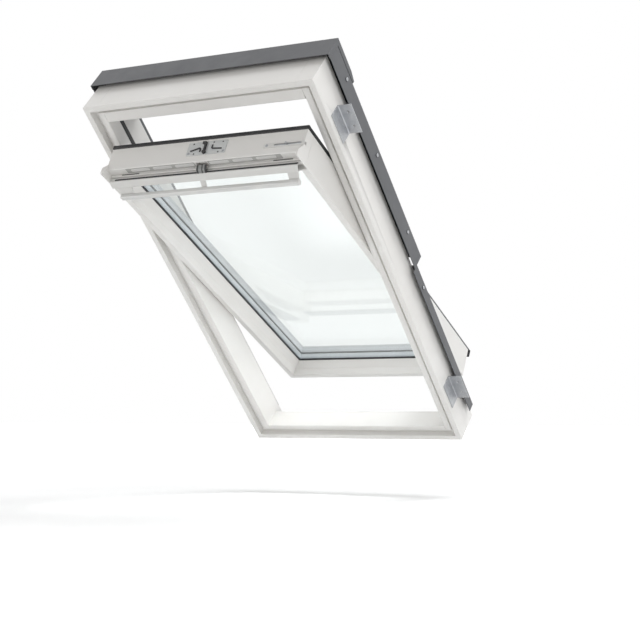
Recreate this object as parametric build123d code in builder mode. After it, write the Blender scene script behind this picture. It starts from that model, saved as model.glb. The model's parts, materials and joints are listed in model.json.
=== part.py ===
from build123d import *
import os
from math import cos, radians, sin

os.makedirs("parts", exist_ok=True)

# Centre-pivot roof window, sash open. World frame: X across the window, Y out
# through the roof, Z up. The origin is the middle of the window in the plane
# where its mounting brackets lie on the roof battens.
# A window point has three values: x across from the centre line, v up the slope
# from the frame's lower edge, and n outwards from the room face of the frame.

# Overall
width = 660.0
height = 1180.0
roof_pitch = 45.0
open_angle = 17.35
cleaning_angle = 171.4
bracket_plane = 43.0

# Pivot
pivot_v = height / 2
pivot_n = 92.0
pin_diameter = 10.0
pin_fit = 0.05

# Frame timbers
jamb_width = 45.0
jamb_depth = 86.0
tongue_width = 15.0
tongue_rise = 12.0
groove_width = 12.5
groove_depth = 8.0
room_edge_radius = 3.0
upstand_width = 25.0
upstand_top = 112.0
upstand_below_pivot = 45.0
sill_height = 40.5
sill_depth = 60.0
head_height = 57.0
head_face = height - head_height

# Rubber seals in the upper jambs
seal_from_room = 40.0
seal_width = 14.0
seal_groove = 4.0
seal_flat = 5.6
seal_proud = 0.5
seal_above_pivot = 60.0

# Sash timbers
sash_gap = 2.0
sash_head_gap = 41.0
sash_sill_gap = 4.5
sash_room_face = 27.0
sash_outer_face = upstand_top
sash_face_width = 18.0
quirk_width = 5.0
quirk_depth = 18.0
bevel_width = 16.0
stop_depth = 39.5
stop_radius = 0.5
rebate_wall = 24.0
top_rail_height = 28.0
channel_height = 22.0
channel_width = 5.5
channel_from_face = 16.5
channel_radius = 1.0
rib_height = 2.5
rib_width = 2.5
front_fall = 19.0
cheek_rise = 16.0
cheek_depth = 17.5
cheek_foot = 39.0
cheek_thickness = 3.0
cheek_radius = 4.0
edge_radius = 2.0
sash_member_width = sash_face_width + quirk_width + bevel_width
sash_bottom = sill_height + sash_sill_gap
sash_top = head_face - sash_head_gap
mitre_top = sash_top - top_rail_height
stop_face = sash_room_face + stop_depth
vent_floor = sash_top - channel_height
vent_room_wall = sash_room_face + channel_from_face
vent_outer_wall = vent_room_wall + channel_width
rail_front_top = vent_floor - front_fall
rib_front = vent_room_wall - rib_width
cheek_top = sash_top + cheek_rise

# Glass unit
glass_edge = 27.0
inner_gasket_thickness = 3.5
inner_pane_from = stop_face + inner_gasket_thickness
pane_thickness = 4.0
glass_cavity = 16.0
spacer_width = 13.0
glazing_lip = 41.5
glazing_back = 29.0
outer_gasket_thickness = 3.0
block_length = 90.0
block_from_centre = 150.0

# Aluminium covers
sheet = 1.5
cover_overhang = 14.0
cover_inset = 0.5
upper_cover_rise = 10.0
upper_skirt = 50.0
lower_skirt = 27.5
bottom_cover_lap = 2.5
bottom_skirt = 31.5
hood_reach = 48.0
hood_lip_rise = 12.5
hood_lip = 7.5
hood_slope = 25.0
hood_rise = 26.0
hood_skirt = 68.0
hood_top_overhang = 12.0
sash_cover_rise = 5.0
sash_cover_drip = 15.0
drip_height = 20.0
upper_cover_top = upstand_top + upper_cover_rise
hood_lip_v = head_face - hood_reach
hood_lip_low = upstand_top + hood_lip_rise
hood_lip_high = hood_lip_low + hood_lip
hood_ridge_v = hood_lip_v + hood_slope
hood_ridge_n = upstand_top + hood_rise
hood_skirt_low = hood_ridge_n - hood_skirt
sash_cover_top = sash_outer_face + sash_cover_rise

# Weather gasket round the upper half of the sash
gasket_height = 11.0
gasket_width = 6.5
gasket_proud = 0.5
gasket_top_proud = 2.0
gasket_round = 1.0
gasket_above_pivot = 20.0
gasket_high = sash_outer_face + gasket_height

# Ventilation flap and control bar
flap_hinge_below = 4.0
flap_hinge_gap = 6.5
flap_leaf_up = 6.0
flap_leaf_depth = 10.0
flap_strip_down = 19.0
flap_strip_depth = 7.0
flap_hinge_v = vent_floor - flap_hinge_below
flap_hinge_n = vent_room_wall - flap_hinge_gap
flap_edge_v = flap_hinge_v + flap_leaf_up
flap_edge_n = flap_hinge_n - flap_leaf_depth
flap_strip_v = flap_edge_v - flap_strip_down
flap_strip_n = flap_edge_n - flap_strip_depth
flap_sheet = 2.5
flap_end_gap = 0.8
flap_right_inset = 7.0
flap_right_slant = 9.0
flap_pin_diameter = 4.0
flap_bead = 6.0
flap_gasket_width = 4.0
flap_gasket_thickness = 2.0
flap_gasket_inset = 4.0
bar_inset = 28.0
bar_below_strip = 20.0
bar_before_strip = 14.0
bar_v = flap_strip_v - bar_below_strip
bar_n = flap_strip_n - bar_before_strip
bar_height = 14.0
bar_depth = 12.0
bar_wall = 1.6

# Link from the flap to the lock, and its pocket behind the channel
link_x = -2.0
link_width = 28.0
link_foot = 10.0
link_rise = 9.0
link_end_v = 16.0
link_end_n = 8.0
link_sheet = 1.6
pocket_half = 16.0
pocket_low = 10.0
pocket_high = 15.0
pocket_depth = 14.5

# Lock
lock_x = 8.0
lock_width = 112.0
lock_depth = 38.0
lock_from_back = 45.0
lock_from = sash_outer_face - lock_from_back
lock_plate = 1.6
lever_x = 4.0
lever_back = 6.0
lever_n = lock_from + lever_back
lever_length = 30.0
lever_width = 5.0
lever_hub = 10.0
lever_thickness = 4.5
lever_gap = 0.4
lever_toe = 6.5
lever_toe_width = 6.0
lever_pin = 4.0
keeper_diameter = 6.0
keeper_bite = 2.5

# Barrel bolt
bolt_diameter = 8.0
bolt_fit = 0.08
bolt_sunk = 0.3
bolt_from_back = 38.0
bolt_n = sash_outer_face - bolt_from_back
bolt_length = 80.0
bolt_inset = 5.0

# Fasteners
screw_shank = 4.0
screw_head = 8.0
screw_length = 18.0
screw_fit = 0.05
screw_hole_spare = 1.0

half = width / 2
sash_half = half - jamb_width - sash_gap
bar_half_length = sash_half - bar_inset
groove_inner = tongue_width + groove_width
outer_pane_from = inner_pane_from + pane_thickness + glass_cavity
glass_back = outer_pane_from + pane_thickness
up = Vector(0, -cos(radians(roof_pitch)), sin(radians(roof_pitch)))
out = Vector(0, sin(radians(roof_pitch)), cos(radians(roof_pitch)))
across = Vector(1, 0, 0)


def turned(v, n, angle):
    """Where a sash point (v, n) stands once the sash has turned from closed."""
    dv = v - pivot_v
    dn = n - pivot_n
    c = cos(radians(angle))
    s = sin(radians(angle))
    return pivot_v + dv * c + dn * s, pivot_n - dv * s + dn * c


frame = Plane(-up * (height / 2) - out * bracket_plane, x_dir=across, z_dir=-out)
sash_origin_v, sash_origin_n = turned(0, 0, open_angle)
sash_up = up * cos(radians(open_angle)) - out * sin(radians(open_angle))
sash_out = up * sin(radians(open_angle)) + out * cos(radians(open_angle))
sash = Plane(
    frame.origin + up * sash_origin_v + out * sash_origin_n,
    x_dir=across,
    z_dir=-sash_out,
)


def point(base, x, v, n):
    """World place of a window point on the frame or on the sash."""
    return base.from_local_coords((x, v, -n))


def across_plane(base, v):
    """Section across the window: x across, y outwards, normal up the slope."""
    return Plane(point(base, 0, v, 0), x_dir=base.x_dir, z_dir=base.y_dir)


def rail_plane(base, x):
    """Section of a rail: x up the slope, y outwards, normal towards minus X."""
    return Plane(point(base, x, 0, 0), x_dir=base.y_dir, z_dir=-base.x_dir)


def face_plane(base, n):
    """Plane parallel to the window: x across, y up the slope, normal to the room."""
    return Plane(point(base, 0, 0, n), x_dir=base.x_dir, z_dir=base.z_dir)


def side_point(base, side, inset, v, n):
    """Point at a distance in from the frame's left (-1) or right (1) outer edge."""
    return point(base, side * (half - inset), v, n)


def near(part, place):
    """The edge of a part that passes nearest to a place."""
    return part.edges().sort_by_distance(place)[0]


side_names = {-1: "left", 1: "right"}

# Screw places, each a plane at the screw head with its normal out of the head
hinge_screw_pitch = 52.0
hinge_plate_length = 80.0
hinge_plate_width = 26.0
hinge_plate = 3.0


def hinge_screw_places(base, side, inset, facing):
    places = []
    for step in (-1, 1):
        place = side_point(base, side, inset, pivot_v + step * hinge_screw_pitch / 2, pivot_n)
        places.append(Plane(place, x_dir=base.y_dir, z_dir=base.x_dir * facing))
    return places


frame_hinge_places = {s: hinge_screw_places(frame, s, jamb_width, -s) for s in side_names}
sash_hinge_places = {s: hinge_screw_places(sash, s, jamb_width + sash_gap, s) for s in side_names}

# Mounting brackets
bracket_from_end = 150.0
bracket_v = (bracket_from_end, height - bracket_from_end)
bracket_length = 80.0
bracket_flange = 37.0
bracket_sheet = 2.5
bracket_leg_depth = 40.0
bracket_hole = 6.0
bracket_hole_pitch = 40.0
bracket_hole_out = 22.0
bracket_screw_pitch = 44.0
bracket_screw_up = 22.0


def bracket_screw_places(side):
    places = []
    for v in bracket_v:
        for step in (-1, 1):
            place = side_point(
                frame,
                side,
                -bracket_sheet,
                v + step * bracket_screw_pitch / 2,
                bracket_plane - bracket_screw_up,
            )
            places.append(Plane(place, x_dir=frame.y_dir, z_dir=across * side))
    return places


bracket_places = {s: bracket_screw_places(s) for s in side_names}

# Keeper on the head
keeper_plate_length = 70.0
keeper_plate_width = 24.0
keeper_plate = 2.0
keeper_screw_pitch = 50.0
keeper_above_lever = 16.0
keeper_beside_lever = 14.0
keeper_n = lever_n + keeper_above_lever
keeper_x = lever_x - keeper_beside_lever
keeper_places = [
    Plane(
        point(frame, keeper_x + step * keeper_screw_pitch / 2, head_face, keeper_n),
        x_dir=across,
        z_dir=-up,
    )
    for step in (-1, 1)
]

# Bushes that take the barrel bolt, with the sash closed and turned right over
bolt_v = sash_top - bolt_sunk - bolt_diameter / 2
bush_places = [turned(bolt_v, bolt_n, angle) for angle in (0, cleaning_angle)]
bush_outer = 14.0
bush_length = 22.0

# Lock screws on the sash's top face
lock_screw_inset = 6.0
lock_screw_n = lock_from + lock_screw_inset


# Frame timbers: one common recess and lining groove on the room side
def cut_room_side():
    """Room-side step inside the outer tongue, and the groove for the lining."""
    with BuildSketch(face_plane(frame, 0)) as recess:
        with Locations((0, height / 2)):
            Rectangle(width - 2 * tongue_width, height - 2 * tongue_width)
    extrude(recess.sketch, amount=tongue_rise, mode=Mode.SUBTRACT)
    with BuildSketch(face_plane(frame, 0)) as groove:
        with Locations((0, height / 2)):
            Rectangle(width - 2 * tongue_width, height - 2 * tongue_width)
            Rectangle(width - 2 * groove_inner, height - 2 * groove_inner, mode=Mode.SUBTRACT)
    extrude(groove.sketch, amount=-groove_depth, mode=Mode.SUBTRACT)


def build_jamb(side):
    inner = side * (half - jamb_width)
    with BuildPart() as jamb:
        with BuildSketch(across_plane(frame, 0)):
            with BuildLine():
                Polyline(
                    (side * half, -tongue_rise),
                    (inner, -tongue_rise),
                    (inner, jamb_depth),
                    (side * half, jamb_depth),
                    close=True,
                )
            make_face()
        extrude(amount=height)
        upstand_v = pivot_v - upstand_below_pivot
        with BuildSketch(across_plane(frame, upstand_v)):
            with Locations((inner + side * upstand_width / 2, (jamb_depth + upstand_top) / 2)):
                Rectangle(upstand_width, upstand_top - jamb_depth)
        extrude(amount=height - upstand_v)
        cut_room_side()
        fillet(near(jamb, point(frame, inner, pivot_v, 0)), room_edge_radius)
        seal_v = pivot_v + seal_above_pivot
        with BuildSketch(across_plane(frame, seal_v)):
            with Locations((inner + side * seal_groove / 2, seal_from_room + seal_width / 2)):
                Rectangle(seal_groove, seal_width)
        extrude(amount=head_face - seal_v, mode=Mode.SUBTRACT)
        with BuildSketch(rail_plane(frame, inner)):
            with Locations((pivot_v, pivot_n)):
                SlotOverall(hinge_plate_length, hinge_plate_width)
        extrude(amount=-side * hinge_plate, mode=Mode.SUBTRACT)
        with Locations(*frame_hinge_places[side], *bracket_places[side]):
            Cylinder(
                screw_shank / 2 + screw_fit,
                screw_length + screw_hole_spare,
                align=(Align.CENTER, Align.CENTER, Align.MAX),
                mode=Mode.SUBTRACT,
            )
        if side == 1:
            with BuildSketch(rail_plane(frame, inner)):
                with Locations(*bush_places):
                    Circle(bush_outer / 2)
            extrude(amount=-side * bush_length, mode=Mode.SUBTRACT)
    jamb.part.label = f"frame_jamb_{side_names[side]}"
    export_step(jamb.part, f"parts/{jamb.part.label}.step")


for side in side_names:
    build_jamb(side)

with BuildPart() as frame_sill:
    with BuildSketch(rail_plane(frame, 0)):
        with BuildLine():
            FilletPolyline(
                (0, -tongue_rise),
                (sill_height, -tongue_rise),
                (sill_height, sill_depth),
                (0, sill_depth),
                radius=(0, 0, edge_radius, edge_radius),
                close=True,
            )
        make_face()
    extrude(amount=half - jamb_width, both=True)
    cut_room_side()
    fillet(near(frame_sill, point(frame, 0, sill_height, 0)), room_edge_radius)
frame_sill.part.label = "frame_sill"
export_step(frame_sill.part, "parts/frame_sill.step")

with BuildPart() as frame_head:
    with BuildSketch(rail_plane(frame, 0)):
        with Locations((height - head_height / 2, (upstand_top - tongue_rise) / 2)):
            Rectangle(head_height, upstand_top + tongue_rise)
    extrude(amount=half - jamb_width, both=True)
    cut_room_side()
    fillet(near(frame_head, point(frame, 0, head_face, 0)), room_edge_radius)
    with BuildSketch(across_plane(frame, head_face)):
        with Locations((keeper_x, keeper_n)):
            RectangleRounded(keeper_plate_length, keeper_plate_width, edge_radius)
    extrude(amount=keeper_plate, mode=Mode.SUBTRACT)
    with Locations(*keeper_places):
        Cylinder(
            screw_shank / 2 + screw_fit,
            screw_length + screw_hole_spare,
            align=(Align.CENTER, Align.CENTER, Align.MAX),
            mode=Mode.SUBTRACT,
        )
frame_head.part.label = "frame_head"
export_step(frame_head.part, "parts/frame_head.step")


def build_seal(side):
    inner = side * (half - jamb_width)
    seal_v = pivot_v + seal_above_pivot
    seal_slope = (seal_width - seal_flat) / 2
    with BuildPart() as seal:
        with BuildSketch(across_plane(frame, seal_v)):
            with BuildLine():
                Polyline(
                    (inner + side * seal_groove, seal_from_room),
                    (inner, seal_from_room),
                    (inner - side * seal_proud, seal_from_room + seal_slope),
                    (inner - side * seal_proud, seal_from_room + seal_slope + seal_flat),
                    (inner, seal_from_room + seal_width),
                    (inner + side * seal_groove, seal_from_room + seal_width),
                    close=True,
                )
            make_face()
        extrude(amount=head_face - seal_v)
    seal.part.label = f"frame_seal_{side_names[side]}"
    export_step(seal.part, f"parts/{seal.part.label}.step")


for side in side_names:
    build_seal(side)


def build_screws(label, places, length=screw_length):
    """Countersunk wood screws, one solid for each place."""
    with BuildPart() as screws:
        with Locations(*places):
            Cylinder(
                screw_shank / 2,
                length,
                align=(Align.CENTER, Align.CENTER, Align.MAX),
            )
            Cone(
                screw_shank / 2,
                screw_head / 2,
                (screw_head - screw_shank) / 2,
                align=(Align.CENTER, Align.CENTER, Align.MAX),
            )
    screws.part.label = label
    export_step(screws.part, f"parts/{label}.step")


def cut_screw_seats(places):
    """Countersunk holes for the screws in a metal plate."""
    with Locations(*places):
        Cylinder(
            screw_shank / 2 + screw_fit,
            screw_length,
            align=(Align.CENTER, Align.CENTER, Align.CENTER),
            mode=Mode.SUBTRACT,
        )
        Cone(
            screw_shank / 2 + screw_fit,
            screw_head / 2 + screw_fit,
            (screw_head - screw_shank) / 2,
            align=(Align.CENTER, Align.CENTER, Align.MAX),
            mode=Mode.SUBTRACT,
        )


build_screws("frame_hinge_screws", frame_hinge_places[-1] + frame_hinge_places[1])
build_screws("sash_hinge_screws", sash_hinge_places[-1] + sash_hinge_places[1])
build_screws("bracket_screws", bracket_places[-1] + bracket_places[1])
build_screws("keeper_screws", keeper_places)

# Pivot hinges: a plate and pin on the frame, a plate and bush on the sash
bush_wall = 3.0
bush_depth = 12.0
pin_reach = 11.0


def build_frame_hinge(side):
    inner = side * (half - jamb_width)
    with BuildPart() as hinge:
        with BuildSketch(rail_plane(frame, inner)):
            with Locations((pivot_v, pivot_n)):
                SlotOverall(hinge_plate_length, hinge_plate_width)
        extrude(amount=-side * hinge_plate)
        with BuildSketch(rail_plane(frame, inner)):
            with Locations((pivot_v, pivot_n)):
                Circle(pin_diameter / 2)
        extrude(amount=side * pin_reach)
        cut_screw_seats(frame_hinge_places[side])
    hinge.part.label = f"hinge_frame_{side_names[side]}"
    export_step(hinge.part, f"parts/{hinge.part.label}.step")


def build_sash_hinge(side):
    outer = side * sash_half
    with BuildPart() as hinge:
        with BuildSketch(rail_plane(sash, outer)):
            with Locations((pivot_v, pivot_n)):
                SlotOverall(hinge_plate_length, hinge_plate_width)
        extrude(amount=side * hinge_plate)
        with BuildSketch(rail_plane(sash, outer)):
            with Locations((pivot_v, pivot_n)):
                Circle(pin_diameter / 2 + pin_fit + bush_wall)
        extrude(amount=side * bush_depth)
        with BuildSketch(rail_plane(sash, outer)):
            with Locations((pivot_v, pivot_n)):
                Circle(pin_diameter / 2 + pin_fit)
        extrude(amount=side * bush_depth, mode=Mode.SUBTRACT)
        cut_screw_seats(sash_hinge_places[side])
    hinge.part.label = f"hinge_sash_{side_names[side]}"
    export_step(hinge.part, f"parts/{hinge.part.label}.step")


for side in side_names:
    build_frame_hinge(side)
    build_sash_hinge(side)

with BuildPart() as bolt_bushes:
    with BuildSketch(rail_plane(frame, half - jamb_width)):
        with Locations(*bush_places):
            Circle(bush_outer / 2)
            Circle(bolt_diameter / 2 + bolt_fit, mode=Mode.SUBTRACT)
    extrude(amount=-bush_length)
bolt_bushes.part.label = "bolt_bushes"
export_step(bolt_bushes.part, "parts/bolt_bushes.step")

with BuildPart() as keeper:
    keeper_end = sash_top + lock_plate + lever_gap + lever_thickness - keeper_bite
    with BuildSketch(across_plane(frame, head_face)):
        with Locations((keeper_x, keeper_n)):
            RectangleRounded(keeper_plate_length, keeper_plate_width, edge_radius)
    extrude(amount=keeper_plate)
    with BuildSketch(across_plane(frame, head_face)):
        with Locations((keeper_x, keeper_n)):
            Circle(keeper_diameter / 2)
    extrude(amount=keeper_end - head_face)
    cut_screw_seats(keeper_places)
keeper.part.label = "keeper"
export_step(keeper.part, "parts/keeper.step")


# Mounting brackets
def build_bracket(side, row):
    v = bracket_v[row]
    with BuildPart() as bracket:
        with BuildSketch(across_plane(frame, v)):
            with BuildLine():
                FilletPolyline(
                    (side * half, bracket_plane - bracket_leg_depth),
                    (side * (half + bracket_sheet), bracket_plane - bracket_leg_depth),
                    (side * (half + bracket_sheet), bracket_plane),
                    (side * (half + bracket_flange), bracket_plane),
                    (side * (half + bracket_flange), bracket_plane + bracket_sheet),
                    (side * half, bracket_plane + bracket_sheet),
                    radius=(0, 0, bracket_sheet, 0, 0, bracket_sheet),
                    close=True,
                )
            make_face()
        extrude(amount=bracket_length / 2, both=True)
        with BuildSketch(face_plane(frame, bracket_plane)):
            with Locations((side * (half + bracket_hole_out), v)):
                with GridLocations(bracket_length, bracket_hole_pitch, 1, 2):
                    Circle(bracket_hole / 2)
        extrude(amount=-bracket_sheet, mode=Mode.SUBTRACT)
        cut_screw_seats(bracket_places[side][2 * row : 2 * row + 2])
    level = ("lower", "upper")[row]
    bracket.part.label = f"bracket_{side_names[side]}_{level}"
    export_step(bracket.part, f"parts/{bracket.part.label}.step")


for side in side_names:
    for row in (0, 1):
        build_bracket(side, row)

# Sash: stiles and bottom rail are mitred, the top rail runs over the mitres
sash_mid_v = (sash_bottom + mitre_top) / 2
sash_span_v = mitre_top - sash_bottom
duct_end_gap = 62.0
duct_half_length = 27.0
duct_x = sash_half - duct_end_gap
duct_wall = 0.5
duct_from = vent_room_wall + duct_wall
duct_width = channel_width - 2 * duct_wall
duct_depth = 15.0
duct_height = 8.0
duct_places = [(side * duct_x, duct_from + duct_width / 2) for side in side_names]


def lower_mitre(side):
    """Mitre of stile and bottom rail, normal towards the stile."""
    corner = side_point(sash, side, jamb_width + sash_gap, sash_bottom, 0)
    return Plane(corner, x_dir=sash_out, z_dir=across * side + sash_up)


def upper_mitre(side):
    """Mitre of stile and top rail, normal towards the stile."""
    corner = side_point(sash, side, jamb_width + sash_gap, mitre_top, 0)
    return Plane(corner, x_dir=sash_out, z_dir=across * side - sash_up)


def sash_member_outline(edge, inward):
    """Room face, quirk, bevel, glass stop and rebate of a sash member.

    edge is the member's outer edge and inward (1 or -1) points to the glass."""
    face = edge + inward * sash_face_width
    quirk = face + inward * quirk_width
    stop = quirk + inward * bevel_width
    wall = edge + inward * rebate_wall
    return [
        (edge, sash_room_face),
        (face, sash_room_face),
        (quirk, sash_room_face + quirk_depth),
        (stop, stop_face),
        (wall, stop_face),
        (wall, sash_outer_face),
        (edge, sash_outer_face),
    ]


member_radii = (edge_radius, edge_radius, quirk_width, stop_radius, 0, 0, 0)


def build_stile(side):
    with BuildPart() as stile:
        with BuildSketch(across_plane(sash, sash_bottom)):
            with BuildLine():
                FilletPolyline(
                    *sash_member_outline(side * sash_half, -side),
                    radius=member_radii,
                    close=True,
                )
            make_face()
        extrude(amount=sash_span_v)
        split(bisect_by=lower_mitre(side), keep=Keep.TOP)
        split(bisect_by=upper_mitre(side), keep=Keep.TOP)
        # Room for the flap above the top rail's front
        with BuildSketch(rail_plane(sash, side * sash_half)):
            with Locations(((rail_front_top + mitre_top) / 2, (sash_room_face + rib_front) / 2)):
                Rectangle(mitre_top - rail_front_top, rib_front - sash_room_face)
        extrude(amount=side * sash_member_width, mode=Mode.SUBTRACT)
        with BuildSketch(rail_plane(sash, side * sash_half)):
            with Locations((pivot_v, pivot_n)):
                SlotOverall(hinge_plate_length, hinge_plate_width)
        extrude(amount=side * hinge_plate, mode=Mode.SUBTRACT)
        with BuildSketch(rail_plane(sash, side * sash_half)):
            with Locations((pivot_v, pivot_n)):
                Circle(pin_diameter / 2 + pin_fit + bush_wall)
        extrude(amount=side * bush_depth, mode=Mode.SUBTRACT)
        with Locations(*sash_hinge_places[side]):
            Cylinder(
                screw_shank / 2 + screw_fit,
                screw_length + screw_hole_spare,
                align=(Align.CENTER, Align.CENTER, Align.MAX),
                mode=Mode.SUBTRACT,
            )
    stile.part.label = f"sash_stile_{side_names[side]}"
    export_step(stile.part, f"parts/{stile.part.label}.step")


for side in side_names:
    build_stile(side)

with BuildPart() as sash_bottom_rail:
    with BuildSketch(rail_plane(sash, 0)):
        with BuildLine():
            FilletPolyline(
                *sash_member_outline(sash_bottom, 1),
                radius=member_radii,
                close=True,
            )
        make_face()
    extrude(amount=sash_half, both=True)
    for side in side_names:
        split(bisect_by=lower_mitre(side), keep=Keep.BOTTOM)
sash_bottom_rail.part.label = "sash_bottom_rail"
export_step(sash_bottom_rail.part, "parts/sash_bottom_rail.step")

# Screws on the sash's top face: two for the lock case, two for the bolt guide
guide_tail = 27.0
guide_length = bolt_inset + bolt_length + guide_tail
guide_width = 13.0
guide_plate = 1.2
guide_screw_inset = 9.0
guide_x = sash_half - guide_length / 2
top_screw_length = 14.0


def top_face_plane(x, n, lift):
    """Plane on the sash's top face, lifted off it, normal up the slope."""
    return Plane(point(sash, x, sash_top + lift, n), x_dir=across, z_dir=sash_up)


lock_screw_places = [
    top_face_plane(lock_x + step * (lock_width / 2 - lock_screw_inset), lock_screw_n, lock_plate)
    for step in (-1, 1)
]
guide_screw_place = top_face_plane(sash_half - guide_length + guide_screw_inset, bolt_n, guide_plate)
knob_diameter = 5.0
knob_reach = 7.0
knob_from_tip = 43.0
bolt_x = sash_half - bolt_inset - bolt_length / 2
knob_x = sash_half - bolt_inset - knob_from_tip

with BuildPart() as sash_top_rail:
    with BuildSketch(rail_plane(sash, 0)):
        with BuildLine():
            FilletPolyline(
                (rail_front_top, sash_room_face),
                *sash_member_outline(mitre_top, -1)[1:6],
                (sash_top, sash_outer_face),
                (sash_top, vent_outer_wall),
                (vent_floor, vent_outer_wall),
                (vent_floor, vent_room_wall),
                (vent_floor + rib_height, vent_room_wall),
                (vent_floor + rib_height, rib_front),
                (rail_front_top, rib_front),
                radius=(*member_radii[:6], 0, edge_radius, *4 * [channel_radius], edge_radius),
                close=True,
            )
        make_face()
    extrude(amount=sash_half, both=True)
    for side in side_names:
        split(bisect_by=upper_mitre(side), keep=Keep.BOTTOM)
    for side in side_names:
        with BuildSketch(rail_plane(sash, side * sash_half)):
            with BuildLine():
                FilletPolyline(
                    (rail_front_top, sash_room_face),
                    (cheek_top, sash_room_face),
                    (cheek_top, sash_room_face + cheek_depth),
                    (sash_top, sash_room_face + cheek_foot),
                    (mitre_top, sash_room_face + cheek_foot),
                    (mitre_top, rib_front),
                    (rail_front_top, rib_front),
                    radius=(0, cheek_radius, cheek_radius, 0, 0, 0, 0),
                    close=True,
                )
            make_face()
        extrude(amount=side * cheek_thickness)
        with BuildSketch(rail_plane(sash, side * sash_half)):
            with Locations((flap_hinge_v, flap_hinge_n)):
                Circle(flap_pin_diameter / 2 + pin_fit)
        extrude(amount=side * cheek_thickness, mode=Mode.SUBTRACT)
    # Two air ducts from the channel floor to the outer face
    with BuildSketch(across_plane(sash, vent_floor)):
        with Locations(*duct_places):
            Rectangle(2 * duct_half_length, duct_width)
    extrude(amount=-duct_depth, mode=Mode.SUBTRACT)
    with BuildSketch(face_plane(sash, sash_outer_face)):
        duct_v = vent_floor - duct_depth + duct_height / 2
        with Locations((-duct_x, duct_v), (duct_x, duct_v)):
            Rectangle(2 * duct_half_length, duct_height)
    extrude(amount=sash_outer_face - duct_from, mode=Mode.SUBTRACT)
    # Pocket that the link's end swings into
    with BuildSketch(rail_plane(sash, link_x)):
        with Locations(
            (
                vent_floor + (pocket_high - pocket_low) / 2,
                vent_room_wall + pocket_depth / 2,
            )
        ):
            Rectangle(pocket_high + pocket_low, pocket_depth)
    extrude(amount=pocket_half, both=True, mode=Mode.SUBTRACT)
    # Groove for the barrel bolt, open at the sash's right side
    groove_start = bolt_x - bolt_length / 2 - bolt_fit
    groove_reach = sash_half - groove_start
    with BuildSketch(top_face_plane(0, 0, 0)):
        with Locations(((sash_half + groove_start) / 2, bolt_n)):
            Rectangle(groove_reach, bolt_diameter + 2 * bolt_fit)
    extrude(amount=-bolt_sunk - bolt_diameter - bolt_fit, mode=Mode.SUBTRACT)
    with Locations(*lock_screw_places, guide_screw_place):
        Cylinder(
            screw_shank / 2 + screw_fit,
            top_screw_length + screw_hole_spare,
            align=(Align.CENTER, Align.CENTER, Align.MAX),
            mode=Mode.SUBTRACT,
        )
    cut_screw_seats([*lock_screw_places, guide_screw_place])
    with Locations(top_face_plane(lever_x, lever_n, 0)):
        Cylinder(lever_pin / 2 + pin_fit, 2 * top_screw_length, mode=Mode.SUBTRACT)
sash_top_rail.part.label = "sash_top_rail"
export_step(sash_top_rail.part, "parts/sash_top_rail.step")


# Glass unit and its gaskets
def ring(base_n, outer_inset, inner_inset):
    """Rectangular ring round the glass, inset from the sash's outer edge."""
    with BuildSketch(face_plane(sash, base_n)) as band:
        with Locations((0, sash_mid_v)):
            Rectangle(2 * (sash_half - outer_inset), sash_span_v - 2 * outer_inset)
            Rectangle(
                2 * (sash_half - inner_inset),
                sash_span_v - 2 * inner_inset,
                mode=Mode.SUBTRACT,
            )
    return band.sketch


def build_pane(label, base_n):
    with BuildPart() as pane:
        with BuildSketch(face_plane(sash, base_n)):
            with Locations((0, sash_mid_v)):
                Rectangle(2 * (sash_half - glass_edge), sash_span_v - 2 * glass_edge)
        extrude(amount=-pane_thickness)
    pane.part.label = label
    export_step(pane.part, f"parts/{label}.step")


def build_ring(label, base_n, thickness, outer_inset, inner_inset):
    with BuildPart() as band:
        extrude(ring(base_n, outer_inset, inner_inset), amount=-thickness)
    band.part.label = label
    export_step(band.part, f"parts/{label}.step")


build_pane("glass_inner", inner_pane_from)
build_pane("glass_outer", outer_pane_from)
build_ring(
    "glass_spacer",
    inner_pane_from + pane_thickness,
    glass_cavity,
    glass_edge,
    glass_edge + spacer_width,
)
build_ring(
    "glazing_gasket_inner",
    stop_face,
    inner_gasket_thickness,
    glazing_back,
    glazing_lip,
)
build_ring(
    "glazing_gasket_outer",
    glass_back,
    outer_gasket_thickness,
    glazing_back,
    glazing_lip,
)

with BuildPart() as setting_blocks:
    with BuildSketch(across_plane(sash, sash_bottom + rebate_wall)):
        with Locations(
            (-block_from_centre, (inner_pane_from + glass_back) / 2),
            (block_from_centre, (inner_pane_from + glass_back) / 2),
        ):
            Rectangle(block_length, glass_back - inner_pane_from)
    extrude(amount=glass_edge - rebate_wall)
setting_blocks.part.label = "setting_blocks"
export_step(setting_blocks.part, "parts/setting_blocks.step")


# Aluminium covers of the sash, with a lip on the outer glazing gasket
cover_seat_n = glass_back + outer_gasket_thickness


def build_side_cover(side):
    outer = side * sash_half
    notched = side * (sash_half - gasket_width)
    inner = side * (sash_half - glazing_lip)
    split_v = pivot_v + gasket_above_pivot
    with BuildPart() as cover:
        for edge, from_v, to_v in ((outer, sash_bottom, split_v), (notched, split_v, mitre_top)):
            with BuildSketch(across_plane(sash, from_v)):
                with BuildLine():
                    Polyline(
                        (edge, sash_outer_face),
                        (edge, sash_cover_top),
                        (inner, sash_cover_top),
                        (inner, cover_seat_n),
                        (inner + side * sheet, cover_seat_n),
                        (inner + side * sheet, sash_cover_top - sheet),
                        (edge - side * sheet, sash_cover_top - sheet),
                        (edge - side * sheet, sash_outer_face),
                        close=True,
                    )
                make_face()
            extrude(amount=to_v - from_v)
        split(bisect_by=lower_mitre(side), keep=Keep.TOP)
        split(bisect_by=upper_mitre(side), keep=Keep.TOP)
    cover.part.label = f"sash_cover_{side_names[side]}"
    export_step(cover.part, f"parts/{cover.part.label}.step")


for side in side_names:
    build_side_cover(side)

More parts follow.
